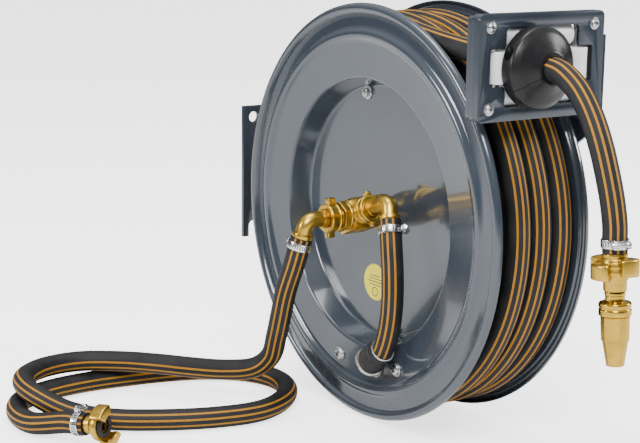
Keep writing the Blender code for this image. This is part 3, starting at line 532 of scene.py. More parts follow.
# Swivel: cast and turned brass. A body turns with the drum on a hexagon spigot that the
# inlet nut holds, and a second nut holds the elbow that feeds the drum's link hose.
BRASS = make_finish("cast_brass", (0.47, 0.29, 0.040), (0.60, 0.39, 0.065), (0.27, 0.38), 1.0,
                    grain=1300.0, depth=0.00008, patch=40.0, strength=0.35)
OUTLET_AXIS = Vector((0, -math.cos(math.radians(22.8)), math.sin(math.radians(22.8))))
OUTLET_MIDDLE = on_axle(-0.075)
OUTLET_CORNER = OUTLET_MIDDLE + OUTLET_AXIS * 0.0714
LINK_DIRECTION = Vector((-0.203, -0.379, -0.903)).normalized()
LINK_START = OUTLET_CORNER + LINK_DIRECTION * 0.0240


def bend_route(start, corner, end, radius):
    """Straight in, a round bend of the given radius at the corner, and straight out."""
    count = 14
    start, corner, end = Vector(start), Vector(corner), Vector(end)
    into, out = (corner - start).normalized(), (end - corner).normalized()
    half = into.angle(out) / 2
    back = radius * math.tan(half)
    centre = corner + (out - into).normalized() * radius / math.cos(half)
    first = corner - into * back - centre
    swing = into.cross(out).normalized()
    bend = [centre + Matrix.Rotation(2 * half * i / count, 3, swing) @ first
            for i in range(count + 1)]
    return [start, *bend, end]


def lug_nut_shape(centre, axis, radius, length, bore, reach, lug_axis):
    """A round union nut with a wrench lug on each side, and a groove near each end."""
    profile = [(bore, 0), (radius - 0.0008, 0), (radius, 0.0010), (radius, length * 0.16),
               (radius - 0.0009, length * 0.22), (radius - 0.0009, length * 0.78),
               (radius, length * 0.84), (radius, length - 0.0010), (radius - 0.0008, length),
               (bore, length)]
    shapes = [lathe_shape(profile, 0.0004, centre, axis)]
    out = Vector(axis).normalized()
    up = Vector(lug_axis).normalized()
    across = up.cross(out)
    turn = Matrix((up, across, out)).transposed().to_4x4()
    for side in (-1, 1):
        middle = centre + out * length / 2 + up * side * (radius - 0.003 + reach) / 2
        shapes.append(box_shape((reach - radius + 0.003, 0.0072, length * 0.72),
                                Matrix.Translation(middle) @ turn, 0.0014))
    return join_shapes(shapes)


def pipe_shape(route, radius, sides=36):
    return hose_shape(route, (0.3, 0.2, 0.9), False, radius, sides)


def ring_shape(centre, axis, inner, outer, length, easing=0.0005):
    """A plain ring that stands on its centre and goes out along its axis."""
    ring = [(inner, 0), (outer, 0), (outer, length), (inner, length)]
    return lathe_shape(ring, easing, centre, axis, 56)


def add_swivel():
    elbow = bend_route(on_axle(-0.1100), SWIVEL_INLET,
                       SUPPLY_START + INLET_DIRECTION * 0.004, 0.012)
    shapes = [pipe_shape(elbow, 0.0098),
              ring_shape(on_axle(-0.1240), TO_FRONT, 0.0090, 0.0118, 0.0050),
              ring_shape(SUPPLY_START - INLET_DIRECTION * 0.0060, INLET_DIRECTION, 0.0090,
                         0.0126, 0.0052)]
    add_piece("inlet_elbow_cast", join_shapes(shapes), "frame", BRASS,
              ["inlet_elbow"])
    add_piece("inlet_nut_turned",
              lug_nut_shape(on_axle(-0.1076), TO_FRONT, 0.0178, 0.0150, 0.0102,
                            0.0250, (0, 0, 1)), "frame", BRASS, ["inlet_nut"])
    spigot = [prism_shape(0.0195, 0.0085, 6, on_axle(-0.0950), TO_FRONT, 0.0008),
              ring_shape(on_axle(-0.1030), TO_FRONT, 0.0080, 0.0128, 0.0044)]
    add_piece("swivel_spigot_turned", join_shapes(spigot), "drum", BRASS,
              ["swivel_spigot"])
    barrel = [(0, 0.0582), (0.0165, 0.0582), (0.0175, 0.0570), (0.0175, 0.0240),
              (0.0170, 0.0130), (0.0205, 0.0057), (0.0215, 0.0050), (0.0215, 0), (0, 0)]
    branch = [(0, 0.0420), (0.0150, 0.0420), (0.0160, 0.0400), (0.0175, 0.0340),
              (0.0185, 0.0220), (0.0178, 0.0080), (0.0150, 0.0015), (0, 0)]
    casting = placed(OUTLET_MIDDLE - OUTLET_AXIS * 0.0010, OUTLET_AXIS)
    body = [lathe_shape(barrel, 0.0010, on_axle(-0.0363), TO_FRONT, 64, False),
            lathe_shape(branch, 0.0010, OUTLET_MIDDLE - OUTLET_AXIS * 0.0205, OUTLET_AXIS, 64,
                        False),
            box_shape((0.0358, 0.0408, 0.0358), casting, 0.0095),
            box_shape((0.0360, 0.0050, 0.0330), casting @ Matrix.Translation((0, -0.0180, 0)),
                      0.0012),
            prism_shape(0.0176, 0.0060, 6, OUTLET_MIDDLE + OUTLET_AXIS * 0.0182, OUTLET_AXIS,
                        0.0010)]
    add_piece("swivel_body_cast", join_shapes(body), "drum", BRASS,
              ["swivel_body"])
    across = OUTLET_AXIS.cross(Vector((1, 0, 0)))
    add_piece("outlet_nut_turned",
              lug_nut_shape(OUTLET_MIDDLE + OUTLET_AXIS * 0.0248, OUTLET_AXIS, 0.0173, 0.0105,
                            0.0102, 0.0220, across), "drum", BRASS,
              ["outlet_nut"])
    elbow = bend_route(OUTLET_MIDDLE + OUTLET_AXIS * 0.0265, OUTLET_CORNER,
                       LINK_START + LINK_DIRECTION * 0.004, 0.010)
    shapes = [pipe_shape(elbow, 0.0096),
              ring_shape(OUTLET_MIDDLE + OUTLET_AXIS * 0.0360, OUTLET_AXIS, 0.0090, 0.0116,
                         0.0050),
              ring_shape(LINK_START - LINK_DIRECTION * 0.0060, LINK_DIRECTION, 0.0090, 0.0124,
                         0.0052)]
    add_piece("outlet_elbow_cast", join_shapes(shapes), "drum", BRASS,
              ["outlet_elbow"])


add_swivel()


# Link hose: carries the water from the swivel to the start of the wound hose, and turns
# with the drum. It goes through the flange in a nickel elbow, inside a ribbed rubber sleeve.
ENTRY = round_axle(-0.0655, 0.1906, math.radians(-100.2))
ENTRY_RING = AXLE + Vector((-0.086, -0.0493, -0.1748))
ENTRY_AXIS = Vector((0, -0.77, 0.64)).normalized()
LINK_ROUTE = smooth_route(
    [LINK_START + LINK_DIRECTION * out for out in (0, 0.018, 0.036)]
    + [AXLE + Vector(p) for p in ((-0.0870, -0.0905, -0.0450), (-0.0876, -0.0930, -0.0760),
                                  (-0.0876, -0.0912, -0.1070), (-0.0870, -0.0840, -0.1340))]
    + [ENTRY_RING + ENTRY_AXIS * (0.0006 + out) for out in (0.030, 0.015, 0)])
add_piece("link_hose_striped", hose_shape(LINK_ROUTE, (-0.80, -0.60, 0)), "drum",
          STRIPED_RUBBER, ["link_hose"])


def add_entry():
    nickel = make_finish("satin_nickel", (0.50, 0.47, 0.41), (0.66, 0.63, 0.56), (0.25, 0.38),
                         1.0, grain=900.0, depth=0.0001, patch=50.0)
    corner = Vector((ENTRY_RING.x, ENTRY.y, ENTRY.z))
    route = bend_route(ENTRY_RING, corner, ENTRY + Vector((0.0030, 0, 0)), 0.011)
    shapes = [pipe_shape(route, 0.0100),
              ring_shape(ENTRY_RING - ENTRY_AXIS * 0.0040, ENTRY_AXIS, 0.0085, 0.0193, 0.0040,
                         0.0008),
              ring_shape(ENTRY - Vector((0.0003, 0, 0)), TO_FRONT, 0.0085, 0.0150, 0.0030)]
    add_piece("entry_elbow_nickel", join_shapes(shapes), "drum", nickel,
              ["entry_elbow"])
    ribs = [(0.0139, 0.0290), (0.0156, 0.0290), (0.0158, 0.0225)]
    for start in (0.0195, 0.0140, 0.0085, 0.0030):
        ribs += [(0.0163, start + 0.0026), (0.0176, start + 0.0014), (0.0176, start),
                 (0.0163, start - 0.0012)]
    ribs += [(0.0163, 0.0005), (0.0139, 0.0005)]
    add_piece("entry_sleeve_ribbed",
              lathe_shape(ribs, 0.0004, ENTRY_RING, ENTRY_AXIS, 56), "drum",
              BLACK_RUBBER, ["entry_sleeve"])
    add_piece("sleeve_clip",
              ring_shape(ENTRY_RING + ENTRY_AXIS * 0.0298, ENTRY_AXIS, 0.0137, 0.0152, 0.0030),
              "drum", ZINC)
    for i, angle in enumerate((-77.1, -112.5)):
        spot = round_axle(-0.0654, 0.197, math.radians(angle))
        dome = [(0, 0.0062), (0.0045, 0.0058), (0.0070, 0.0042), (0.0076, 0.0016),
                (0.0090, 0.0016), (0.0090, 0), (0, 0)]
        # The cross in each domed head is drawn as two thin bars in the black finish laid on the
        # dome: painted shade that stands in for the shade inside the zinc cross recess.
        slots = [box_shape((0.0004, 0.0014, 0.0080),
                           Matrix.Translation(spot - Vector((0.0061, 0, 0)))
                           @ Matrix.Rotation(math.radians(turn), 4, "X"), 0.0001)
                 for turn in (20, 110)]
        bolt = lathe_shape(dome, 0.0004, spot, TO_FRONT, 40, False)
        add_piece(f"entry_bolt_{i + 1}_domed", bolt, "drum", ZINC,
                  [f"entry_bolt_{i + 1}"])
        add_piece(f"entry_bolt_{i + 1}_cross", join_shapes(slots), "drum",
                  BLACK_RUBBER)


add_entry()


# Worm clamps: a stainless band with slots punched across it, drawn tight round a hose end
# by a hexagon-headed screw that turns in a pressed housing.
STAINLESS = make_finish("stainless_band", (0.55, 0.56, 0.57), (0.74, 0.75, 0.76), (0.16, 0.28),
                        1.0, grain=1600.0, depth=0.00005, patch=90.0, strength=0.35)


def add_clamp(name, spot, along, side, body):
    band = [(0.0149, 0.0046), (0.0149, -0.0046), (0.0137, -0.0046), (0.0137, 0.0046)]
    base = placed(spot, along) @ Matrix.Rotation(math.radians(side), 4, "Z")
    out = base @ Matrix.Translation((0.0178, 0, 0))
    shapes = [lathe_shape(band, 0.0003, spot, along, 72),
              box_shape((0.0050, 0.0140, 0.0098), out, 0.0016),
              box_shape((0.0016, 0.0170, 0.0060), base @ Matrix.Translation((0.0155, 0, 0)))]
    shank = [(0, -0.0085), (0.0029, -0.0085), (0.0029, 0.0085), (0, 0.0085)]
    screw = lathe_shape(shank, 0.0005, (0, 0, 0), (0, 1, 0), 24, False)
    head = prism_shape(0.0040, 0.0045, 6, (0, 0.0075, 0), (0, 1, 0), 0.0004)
    for shape in (screw, head):
        shape.transform(base @ Matrix.Translation((0.0190, 0, 0)))
    slots, slot_pitch = [], 11.4
    for i in range(26):
        turn = Matrix.Rotation(math.radians(side + 32 + i * slot_pitch), 4, "Z")
        slots.append(box_shape((0.0003, 0.0011, 0.0054), placed(spot, along) @ turn
                               @ Matrix.Translation((0.01489, 0, 0)), 0.00008))
    add_piece(name + "_band", join_shapes(shapes + [screw, head]), body, STAINLESS,
              [name])
    add_piece(name + "_slots", join_shapes(slots), body, BLACK_RUBBER)


CLAMPS = {"inlet_clamp": (*on_route(SUPPLY_ROUTE, 0.0095), 150, "frame"),
          "supply_clamp": (*on_route(SUPPLY_ROUTE[::-1], 0.0100), 100, "frame"),
          "outlet_clamp": (*on_route(OUTLET_ROUTE[::-1], 0.0100), 60, "frame"),
          "link_clamp": (*on_route(LINK_ROUTE, 0.0125), 20, "drum")}
for clamp_name, (clamp_spot, clamp_along, clamp_side, clamp_body) in CLAMPS.items():
    add_clamp(clamp_name, clamp_spot, clamp_along, clamp_side, clamp_body)


# Claw couplings: cast brass halves, each a disc with two claws that hook behind the rim of
# the other half. Two are mated on the outlet, and one is open on the supply hose.
def claw_shape(face, along, turn, tail_radius, tail_length):
    """A disc with its hose tail, and two claws that stand over its face."""
    bore, half_claw = 0.0065, 29
    body = [(bore, 0), (0.0183, 0), (0.0183, 0.0058), (0.0150, 0.0062), (0.0145, 0.0100),
            (tail_radius + 0.0010, 0.0125), (tail_radius, 0.0150), (tail_radius, tail_length),
            (bore, tail_length)]
    shapes = [lathe_shape(body, 0.0007, face, along)]
    base = placed(face, along) @ Matrix.Rotation(turn, 4, "Z")
    for side in (0, math.pi):
        claw = bmesh.new()
        hook = ease([(0.0170, 0.0060), (0.0255, 0.0060), (0.0268, 0.0040), (0.0268, -0.0100),
                     (0.0255, -0.0115), (0.0152, -0.0124), (0.0152, -0.0066),
                     (0.0190, -0.0066), (0.0190, 0.0002), (0.0170, 0.0002)], 0.0012, True)
        points = [claw.verts.new((radius, 0, height)) for radius, height in hook]
        outline = claw.faces.new(points)
        claw.transform(Matrix.Rotation(math.radians(-half_claw), 4, "Z"))
        bmesh.ops.spin(claw, geom=[outline, *outline.edges, *points], cent=(0, 0, 0),
                       axis=(0, 0, 1), angle=math.radians(2 * half_claw), steps=10,
                       use_duplicate=False)
        bmesh.ops.recalc_face_normals(claw, faces=claw.faces)
        ends = [e for e in claw.edges if e.calc_face_angle(0) > 1.2]
        round_edges(claw, ends, 0.0008)
        claw.transform(base @ Matrix.Rotation(side, 4, "Z"))
        shapes.append(claw)
    return join_shapes(shapes)


add_piece("hose_coupling_cast",
          join_shapes([claw_shape(OUTLET_FACE - HANG * 0.00015, -HANG, 0, 0.0110, 0.0160),
                       ring_shape(OUTLET_FACE - HANG * 0.0115, -HANG, 0.0100, 0.0135, 0.0040)]),
          "frame", BRASS, ["hose_coupling"])
add_piece("nozzle_coupling_cast",
          claw_shape(OUTLET_FACE + HANG * 0.00015, HANG, math.pi / 2, 0.0125, 0.0240),
          "frame", BRASS, ["nozzle_coupling"])
SUPPLY_FACE = SUPPLY_END + SUPPLY_TAIL * 0.0230
add_piece("supply_coupling_cast",
          claw_shape(SUPPLY_FACE, -SUPPLY_TAIL, math.radians(65), 0.0110, 0.0225), "frame",
          BRASS, ["supply_coupling"])
SEAL = [(0.0080, 0.0040), (0.0130, 0.0040), (0.0145, 0.0025), (0.0145, 0.0003), (0.0080, 0.0003)]
add_piece("coupling_seal_lip", lathe_shape(SEAL, 0.0007, SUPPLY_FACE, SUPPLY_TAIL, 56),
          "frame", BLACK_RUBBER, ["coupling_seal"])


# Nozzle: a turned brass stem with a knurled collar, and a twelve-sided sleeve that twists
# on it to open the jet.
TURNED_BRASS = make_finish("turned_brass", (0.44, 0.27, 0.035), (0.56, 0.36, 0.055),
                           (0.12, 0.20), 1.0, grain=2400.0, depth=0.00003, patch=60.0,
                           strength=0.3)


def add_nozzle():
    top = OUTLET_FACE + HANG * 0.0245
    stem = [(0.0060, 0), (0.0112, 0), (0.0112, 0.0040), (0.0105, 0.0050), (0.0105, 0.0100),
            (0.0165, 0.0118), (0.0175, 0.0130), (0.0175, 0.0165), (0.0168, 0.0172),
            (0.0168, 0.0188), (0.0175, 0.0195), (0.0175, 0.0258), (0.0080, 0.0260),
            (0.0080, 0.0560), (0.0060, 0.0560)]
    add_piece("nozzle_stem_turned", lathe_shape(stem, 0.0004, top, HANG), "frame",
              TURNED_BRASS, ["nozzle_body"])
    sleeve_top = top + HANG * 0.0263
    flats = [(0.0084, 0), (0.0150, 0), (0.0160, 0.0012), (0.0153, 0.0262), (0.0144, 0.0270),
             (0.0140, 0.0276), (0.0138, 0.0290), (0.0100, 0.0530), (0.0094, 0.0545),
             (0.0084, 0.0545)]
    add_piece("nozzle_sleeve_faceted", lathe_shape(flats, 0, sleeve_top, HANG, 12), "nozzle",
              TURNED_BRASS, ["nozzle_sleeve"], 18)


add_nozzle()


# Hose stopper: two black nylon halves clamped round the hose with four screws. They are too
# big to pass the guide, so they stop the hose when it rewinds.
FROM_WALL = (0, -1, 0)


def add_stopper():
    nylon = make_finish("black_nylon", (0.006, 0.006, 0.007), (0.011, 0.011, 0.012),
                        (0.24, 0.34), grain=1500.0, depth=0.00008, patch=35.0, strength=0.5,
                        shine=0.25)
    profile = [(0.0140, 0.0345), (0.0185, 0.0345), (0.0215, 0.0325), (0.0300, 0.0275),
               (0.0390, 0.0235), (0.0448, 0.0190), (0.0460, 0.0165), (0.0460, 0.0020),
               (0.0440, 0), (0.0140, 0)]
    recess = [(0, 0), (0.0058, 0), (0.0064, 0.04), (0, 0.04)]
    head = [(0, 0), (0.0042, 0), (0.0042, 0.0030), (0, 0.0034)]
    tilt = math.radians(30)
    split = Vector((-math.sin(tilt), 0, math.cos(tilt)))
    along = Vector((math.cos(tilt), 0, math.sin(tilt)))
    for name, side in (("stopper_upper", 1), ("stopper_lower", -1)):
        half = lathe_shape(profile, 0.0014, STOPPER, FROM_WALL, 96)
        cut = bmesh.ops.bisect_plane(half, geom=half.verts[:] + half.edges[:] + half.faces[:],
                                     plane_co=STOPPER + split * side * 0.0003,
                                     plane_no=split * side, clear_inner=True)
        rim = [e for e in cut["geom_cut"] if isinstance(e, bmesh.types.BMEdge)]
        bmesh.ops.edgeloop_fill(half, edges=rim)
        bmesh.ops.recalc_face_normals(half, faces=half.faces)
        shell = add_piece(name + "_moulded", half, "frame", nylon, [name])
        cutters = []
        for number, offset in enumerate((-0.028, 0.028)):
            spot = STOPPER + along * offset + split * side * 0.0200
            spot.y -= 0.0090
            cutters.append(lathe_shape(recess, 0, spot, split * side, 40, False))
            screw = lathe_shape(head, 0.0005, spot - split * side * 0.0008, split * side, 28,
                                False)
            add_piece(f"{name}_screw_{number + 1}", screw, "frame", ZINC)
        cutter = add_object(name + "_recesses", join_shapes(cutters))
        change = shell.modifiers.new("screw recesses", "BOOLEAN")
        change.object = cutter
        bpy.context.view_layer.update()
        graph = bpy.context.evaluated_depsgraph_get()
        finished = bpy.data.meshes.new_from_object(shell.evaluated_get(graph))
        shell.modifiers.clear()
        shell.data = finished
        bpy.data.objects.remove(cutter)


add_stopper()


# Hose guide: a pressed cover with a cross-shaped window, a box behind it that holds four
# white rollers on steel pins, and a screw at each corner.
BRACKET_PAINT = make_finish("slate_bracket_paint", (0.028, 0.037, 0.050),
                            (0.034, 0.044, 0.058), (0.13, 0.21), metallic=0.2, grain=500.0,
                            depth=0.00008, patch=12.0, strength=0.3, coat=0.35)
ROLLER_WHITE = make_finish("white_acetal", (0.66, 0.67, 0.68), (0.80, 0.81, 0.82),
                           (0.30, 0.45), grain=500.0, depth=0.00008, patch=45.0)


def rounded_rectangle(half_width, half_height, corner):
    count = 9
    x, y = half_width - corner, half_height - corner
    return (arc((x, y), corner, 0, 90, count) + arc((-x, y), corner, 90, 180, count)
            + arc((-x, -y), corner, 180, 270, count) + arc((x, -y), corner, 270, 360, count))


def cross_outline(wide, low, narrow, high):
    quarter = [(wide, low), (narrow, low), (narrow, high)]
    top = quarter + [(-x, y) for x, y in reversed(quarter)]
    return ease(top + [(-x, -y) for x, y in top], 0.004, True)


def sheet_shape(outlines, thickness, transform, bevel=0.0004):
    """Flat stock from an edge and its holes, with its edges broken."""
    curve = bpy.data.curves.new("outline", "CURVE")
    curve.dimensions, curve.fill_mode, curve.extrude = "2D", "BOTH", thickness / 2
    for outline in outlines:
        spline = curve.splines.new("POLY")
        spline.points.add(len(outline) - 1)
        for point, (x, y) in zip(spline.points, outline):
            point.co = (x, y, 0, 1)
        spline.use_cyclic_u = True
    holder = bpy.data.objects.new("outline", curve)
    bpy.context.scene.collection.objects.link(holder)
    bpy.context.view_layer.update()
    graph = bpy.context.evaluated_depsgraph_get()
    mesh = bpy.data.meshes.new_from_object(holder.evaluated_get(graph))
    bpy.data.objects.remove(holder)
    shape = bmesh.new()
    shape.from_mesh(mesh)
    bpy.data.meshes.remove(mesh)
    bmesh.ops.remove_doubles(shape, verts=shape.verts, dist=0.00001)
    bmesh.ops.recalc_face_normals(shape, faces=shape.faces)
    sharp = [e for e in shape.edges if e.calc_face_angle(0) > 1.4]
    round_edges(shape, sharp, bevel)
    shape.transform(transform)
    return shape


def facing_y(location):
    return Matrix.Translation(location) @ Matrix.Rotation(math.pi / 2, 4, "X")


def facing_x(location):
    return (Matrix.Translation(location) @ Matrix.Rotation(math.pi / 2, 4, "Z")
            @ Matrix.Rotation(math.pi / 2, 4, "X"))


def add_guide():
    front, height = -0.573, 0.203
    screws = [(x, z) for x in (-0.0765, 0.0765) for z in (-0.0443, 0.0443)]
    outer = rounded_rectangle(0.0925, 0.0590, 0.007)
    window = cross_outline(0.0760, 0.0205, 0.0540, 0.0440)
    holes = [arc(spot, 0.0028, 0, 345, 24) for spot in screws]
    face = sheet_shape([outer, window, *holes], 0.002, facing_y((0, front + 0.001, height)))
    rim = sheet_shape([outer, rounded_rectangle(0.0907, 0.0572, 0.0054)], 0.0118,
                      facing_y((0, front + 0.0071, height)), 0.0003)
    add_piece("guide_plate_pressed", join_shapes([face, rim]), "frame",
              BRACKET_PAINT, ["guide_plate"], 30)
    box = sheet_shape([rounded_rectangle(0.0900, 0.0565, 0.005),
                       cross_outline(0.0870, 0.0365, 0.0660, 0.0535)], 0.0212,
                      facing_y((0, front + 0.0023 + 0.0106, height)), 0.0005)
    add_piece("guide_box_folded", box, "frame", BRACKET_PAINT, ["guide_box"],
              30)
    dome = [(0, 0.0036), (0.0028, 0.0034), (0.0048, 0.0020), (0.0055, 0), (0, 0)]
    washer = [(0, 0), (0.0070, 0), (0.0070, 0.0008), (0, 0.0008)]
    for i, (x, z) in enumerate(screws):
        spot = Vector((x, front - 0.0001, height + z))
        head = lathe_shape(dome, 0.0003, spot - Vector((0, 0.0006, 0)), FROM_WALL, 32, False)
        under = lathe_shape(washer, 0.0003, spot, FROM_WALL, 32, False)
        add_piece(f"guide_screw_{i + 1}_head", join_shapes([head, under]), "frame",
                  ZINC, [f"guide_screw_{i + 1}"])
        # The cross in each screw head is two thin bars in the black finish laid on the dome:
        # painted shade that stands in for the shade inside the zinc cross recess.
        cross = [box_shape((0.0050, 0.0004, 0.0011),
                           Matrix.Translation(spot - Vector((0, 0.0041, 0)))
                           @ Matrix.Rotation(math.radians(turn), 4, "Y"), 0.0001)
                 for turn in (15, 105)]
        add_piece(f"guide_screw_{i + 1}_cross", join_shapes(cross), "frame",
                  BLACK_RUBBER)
    places = {"left": ((-0.058, -0.5635, height), (0, 0, 1), 0.018, 0.0562),
              "right": ((0.058, -0.5635, height), (0, 0, 1), 0.018, 0.0562),
              "lower": ((0, -0.5565, height - 0.0325), (1, 0, 0), 0.050, 0.0897),
              "upper": ((0, -0.5565, height + 0.0325), (1, 0, 0), 0.050, 0.0897)}
    for word, (middle, along, half, pin) in places.items():
        wall = [(0.0034, half), (0.0060, half - 0.0006), (0.0110, half - 0.0006),
                (0.0128, half), (0.0135, half - 0.0010)]
        wall += [(r, -h) for r, h in reversed(wall)]
        add_piece(word + "_roller_moulded",
                  lathe_shape(wall, 0.0004, middle, along, 56), word + "_wheel",
                  ROLLER_WHITE, [word + "_roller"])
        rod = [(0, pin), (0.0030, pin), (0.0030, -pin), (0, -pin)]
        add_piece(word + "_pin_drawn", lathe_shape(rod, 0.0005, middle, along, 32, False),
                  "frame", ZINC, [word + "_roller_pin"])


add_guide()


# Wall bracket: a 6 mm plate with two round holes and two open slots, and one arm welded to
# a foot on it. The guide's arm is clamped on the same axle under a nut.
def add_bracket():
    left, right, bottom, top = -0.041, 0.098, -0.093, 0.096
    radius, lines, slot_top = 0.0075, (-0.024, 0.081), -0.0775
    edge = [(left, top), (left, bottom)]
    for x in lines:
        edge.append((x - radius, bottom))
        edge += arc((x, slot_top), radius, 180, 0, 17)
        edge.append((x + radius, bottom))
    edge += [(right, bottom), (right, top)]
    holes = [arc((x, 0.080), radius, 0, 350, 36) for x in lines]
    add_piece("wall_plate_cut", sheet_shape([edge, *holes], 0.006, facing_y((0, -0.003, 0)),
                                            0.0006), "frame", BRACKET_PAINT,
              ["wall_plate"], 30)
    axle_hole = arc(AXLE.yz, 0.0096, 0, 350, 36)
    web = ([(-0.0083, 0.062), (-0.0363, 0.062)] + arc(AXLE.yz, 0.045, 97, 263, 41)
           + [(-0.0363, -0.060), (-0.0083, -0.060)])
    shapes = [sheet_shape([web, axle_hole], 0.006, facing_x((0.0895, 0, 0)), 0.0006),
              box_shape((0.0610, 0.006, 0.130), Matrix.Translation((0.0605, -0.0093, 0.001)),
                        0.0008)]
    bead = [Vector((0.0862, -0.0128, -0.058 + 0.0029 * i)) for i in range(42)]
    shapes.append(pipe_shape(bead, 0.0022, 12))
    add_piece("support_arm_welded", join_shapes(shapes), "frame",
              BRACKET_PAINT, ["support_arm"], 30)
    arm = ([(-0.5715, 0.234), (-0.532, 0.234)] + arc(AXLE.yz, 0.032, 50, -130, 41)
           + [(-0.5715, 0.128)])
    add_piece("guide_arm_cut", sheet_shape([arm, axle_hole], 0.005, facing_x((0.0953, 0, 0)),
                                           0.0005), "frame", BRACKET_PAINT,
              ["guide_arm"], 30)
    for i, (x, z) in enumerate(((0.046, 0.045), (0.070, 0.045), (0.046, -0.043),
                                (0.070, -0.043))):
        add_piece(f"foot_bolt_{i + 1}", bolt_shape(Vector((x, -0.0124, z)), FROM_WALL, 0.0075,
                                                   0.0060, 0.0100), "frame", ZINC)
    for i, z in enumerate((0.155, 0.207)):
        add_piece(f"guide_arm_bolt_{i + 1}",
                  bolt_shape(Vector((0.0979, -0.5560, z)), TO_REAR, 0.0055, 0.0040, 0.0080),
                  "frame", ZINC)


add_bracket()


# Axle: a turned steel shaft fixed in the arms, with its nut and washer outside and the
# retaining ring at the swivel's end.
def add_axle():
    ring = [(0.0095, 0.0979), (0.0180, 0.0979), (0.0180, 0.0996), (0.0095, 0.0996)]
    washer = lathe_shape(ring, 0.0003, AXLE, TO_REAR, 48)
    nut = prism_shape(0.0155, 0.0090, 6, on_axle(0.0996), TO_REAR, 0.0010)
    add_piece("shaft_nut_cut", join_shapes([washer, nut]), "frame", ZINC,
              ["shaft_nut"])
    shaft = [(0, 0.112), (0.0080, 0.112), (0.0090, 0.1110)]
    half_pitch = 0.0005
    for i in range(7):
        shaft += [(0.0090, 0.1098 - half_pitch * 2 * i), (0.0085, 0.1093 - half_pitch * 2 * i)]
    shaft += [(0.0090, 0.1020), (0.0090, 0.0862), (0.0335, 0.0862), (0.0340, 0.0857),
              (0.0340, 0.0790), (0.0335, 0.0785), (0.0160, 0.0785), (0.0160, 0.0380),
              (0.0100, 0.0380), (0.0100, -0.0352), (0.0094, -0.0358), (0, -0.0358)]
    add_piece("main_shaft_turned", lathe_shape(shaft, 0, AXLE, TO_REAR, 64, False),
              "frame", ZINC, ["main_shaft"])


add_axle()


# Spring motor and ratchet: a drawn steel case with a cover in the rear recess, the notched
# wheel on it, and the pawl that holds the hose where it is let go.
SPRING_STEEL = make_finish("blued_spring_steel", (0.16, 0.17, 0.20), (0.30, 0.31, 0.34),
                           (0.28, 0.42), 1.0, grain=1300.0, depth=0.00006, patch=50.0)
BRONZE = make_finish("bush_bronze", (0.36, 0.20, 0.08), (0.52, 0.32, 0.14), (0.35, 0.5), 1.0,
                     grain=1500.0, depth=0.0001, patch=60.0)


def add_spring_motor():
    cover = [(0.0175, 0.0658), (0.1380, 0.0658), (0.1380, 0.0678), (0.1260, 0.0678),
             (0.1240, 0.0672), (0.1180, 0.0672), (0.1160, 0.0678), (0.0175, 0.0678)]
    add_piece("spring_cover_pressed", lathe_shape(cover, 0.0006, AXLE, TO_REAR, 120),
              "drum", BRACKET_PAINT, ["spring_cover"])
    case = [(0.1380, 0.0655), (0.1380, 0.0363), (0.0175, 0.0363), (0.0175, 0.0383),
            (0.1360, 0.0383), (0.1360, 0.0655)]
    add_piece("spring_case_drawn", lathe_shape(case, 0.0008, AXLE, TO_REAR, 120), "drum",
              ZINC, ["spring_case"])
    rivet = [(0, 0.0014), (0.0022, 0.0010), (0.0032, 0), (0, 0)]
    for i in range(6):
        spot = round_axle(0.0678, 0.132, math.radians(60 * i + 15))
        add_piece(f"cover_rivet_{i + 1}", lathe_shape(rivet, 0.0003, spot, TO_REAR, 24,
                                                      False), "drum", ZINC)


add_spring_motor()


# Inner pieces: the drum's steel core, hub tube and bronze bushes, the spring, the ratchet
# wheel, the pawl with its pin and spring, and the retaining ring. They keep their plain
# shapes, and the loop gives every node the finish of what it is made of.
NODE_FINISHES = {
    "flange_paint": FLANGE_PAINT, "bracket_paint": BRACKET_PAINT, "zinc_steel": ZINC,
    "spring_steel": SPRING_STEEL, "stainless": STAINLESS, "cast_brass": BRASS,
    "bush_bronze": BRONZE, "hose_rubber": BLACK_RUBBER, "seal_rubber": BLACK_RUBBER,
    "stopper_plastic": BLACK_RUBBER, "roller_plastic": ROLLER_WHITE}
for part in frame["record"]["subparts"]:
    node = NODES[part["node"]]
    node.data.materials.clear()
    node.data.materials.append(NODE_FINISHES[part["material_slot"]])


# Studio: a pale matt floor that the supply hose lies on, a room that is brighter overhead,
# and four soft boxes round the reel.
FLOOR_HEIGHT, FLOOR_GLOW = -0.2632, 2.2


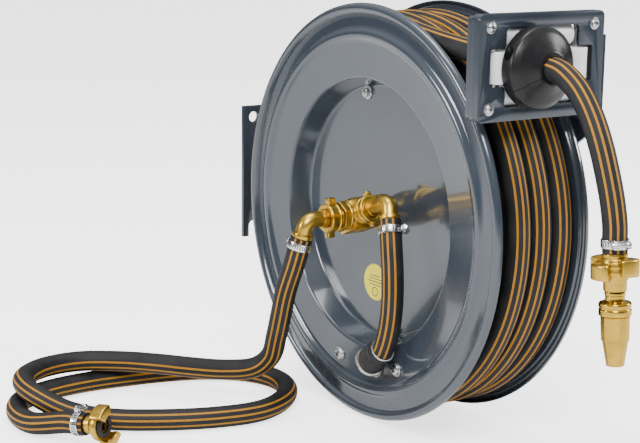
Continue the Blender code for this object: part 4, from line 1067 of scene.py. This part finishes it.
def add_studio():
    shape = bmesh.new()
    bmesh.ops.create_grid(shape, x_segments=1, y_segments=1, size=30,
                          matrix=Matrix.Translation((0, 0, FLOOR_HEIGHT)))
    floor = add_object("floor", shape)
    pale = make_finish("pale_floor", (0.90, 0.90, 0.90), (0.92, 0.92, 0.92), (0.85, 0.95),
                       grain=60.0, depth=0.00001, patch=2.0)
    lit = pale.node_tree.nodes["Principled BSDF"]
    glow = add_node(pale.node_tree, "ShaderNodeMath", {"operation": "MULTIPLY"})
    glow.inputs[1].default_value = FLOOR_GLOW
    eye = pale.node_tree.nodes.new("ShaderNodeLightPath")
    pale.node_tree.links.new(eye.outputs["Is Camera Ray"], glow.inputs[0])
    pale.node_tree.links.new(glow.outputs[0], lit.inputs["Emission Strength"])
    lit.inputs["Emission Color"].default_value = (1, 1, 1, 1)
    floor.data.materials.append(pale)
    world = bpy.data.worlds.new("studio")
    world.use_nodes = True
    tree = world.node_tree
    room = tree.nodes["Background"]
    facing = tree.nodes.new("ShaderNodeTexCoord")
    parts = tree.nodes.new("ShaderNodeSeparateXYZ")
    height = add_node(tree, "ShaderNodeMapRange", From_Min=0.10, From_Max=0.85, To_Min=0.02,
                      To_Max=1.05)
    seen = tree.nodes.new("ShaderNodeLightPath")
    mix = add_node(tree, "ShaderNodeMix", {"data_type": "FLOAT"})
    mix.inputs[3].default_value = 1.0
    tree.links.new(facing.outputs["Generated"], parts.inputs[0])
    tree.links.new(parts.outputs["Z"], height.inputs["Value"])
    tree.links.new(seen.outputs["Is Camera Ray"], mix.inputs[0])
    tree.links.new(height.outputs["Result"], mix.inputs[2])
    tree.links.new(mix.outputs[0], room.inputs["Strength"])
    room.inputs["Color"].default_value = (1, 1, 1, 1)
    bpy.context.scene.world = world
    boxes = {"key_box": ((-1.6, -2.2, 2.2), 1.3, 120), "side_box": ((2.4, -1.6, 1.2), 0.9, 50),
             "top_box": ((-0.2, -0.2, 2.8), 1.5, 60), "left_box": ((-2.8, 0.6, 1.0), 0.8, 45)}
    for name, (location, size, power) in boxes.items():
        light = bpy.data.lights.new(name, "AREA")
        light.shape, light.size, light.energy = "SQUARE", size, power
        lamp = bpy.data.objects.new(name, light)
        lamp.location = location
        lamp.rotation_mode = "QUATERNION"
        lamp.rotation_quaternion = (Vector(location) - AXLE).to_track_quat("Z", "Y")
        bpy.context.scene.collection.objects.link(lamp)


add_studio()
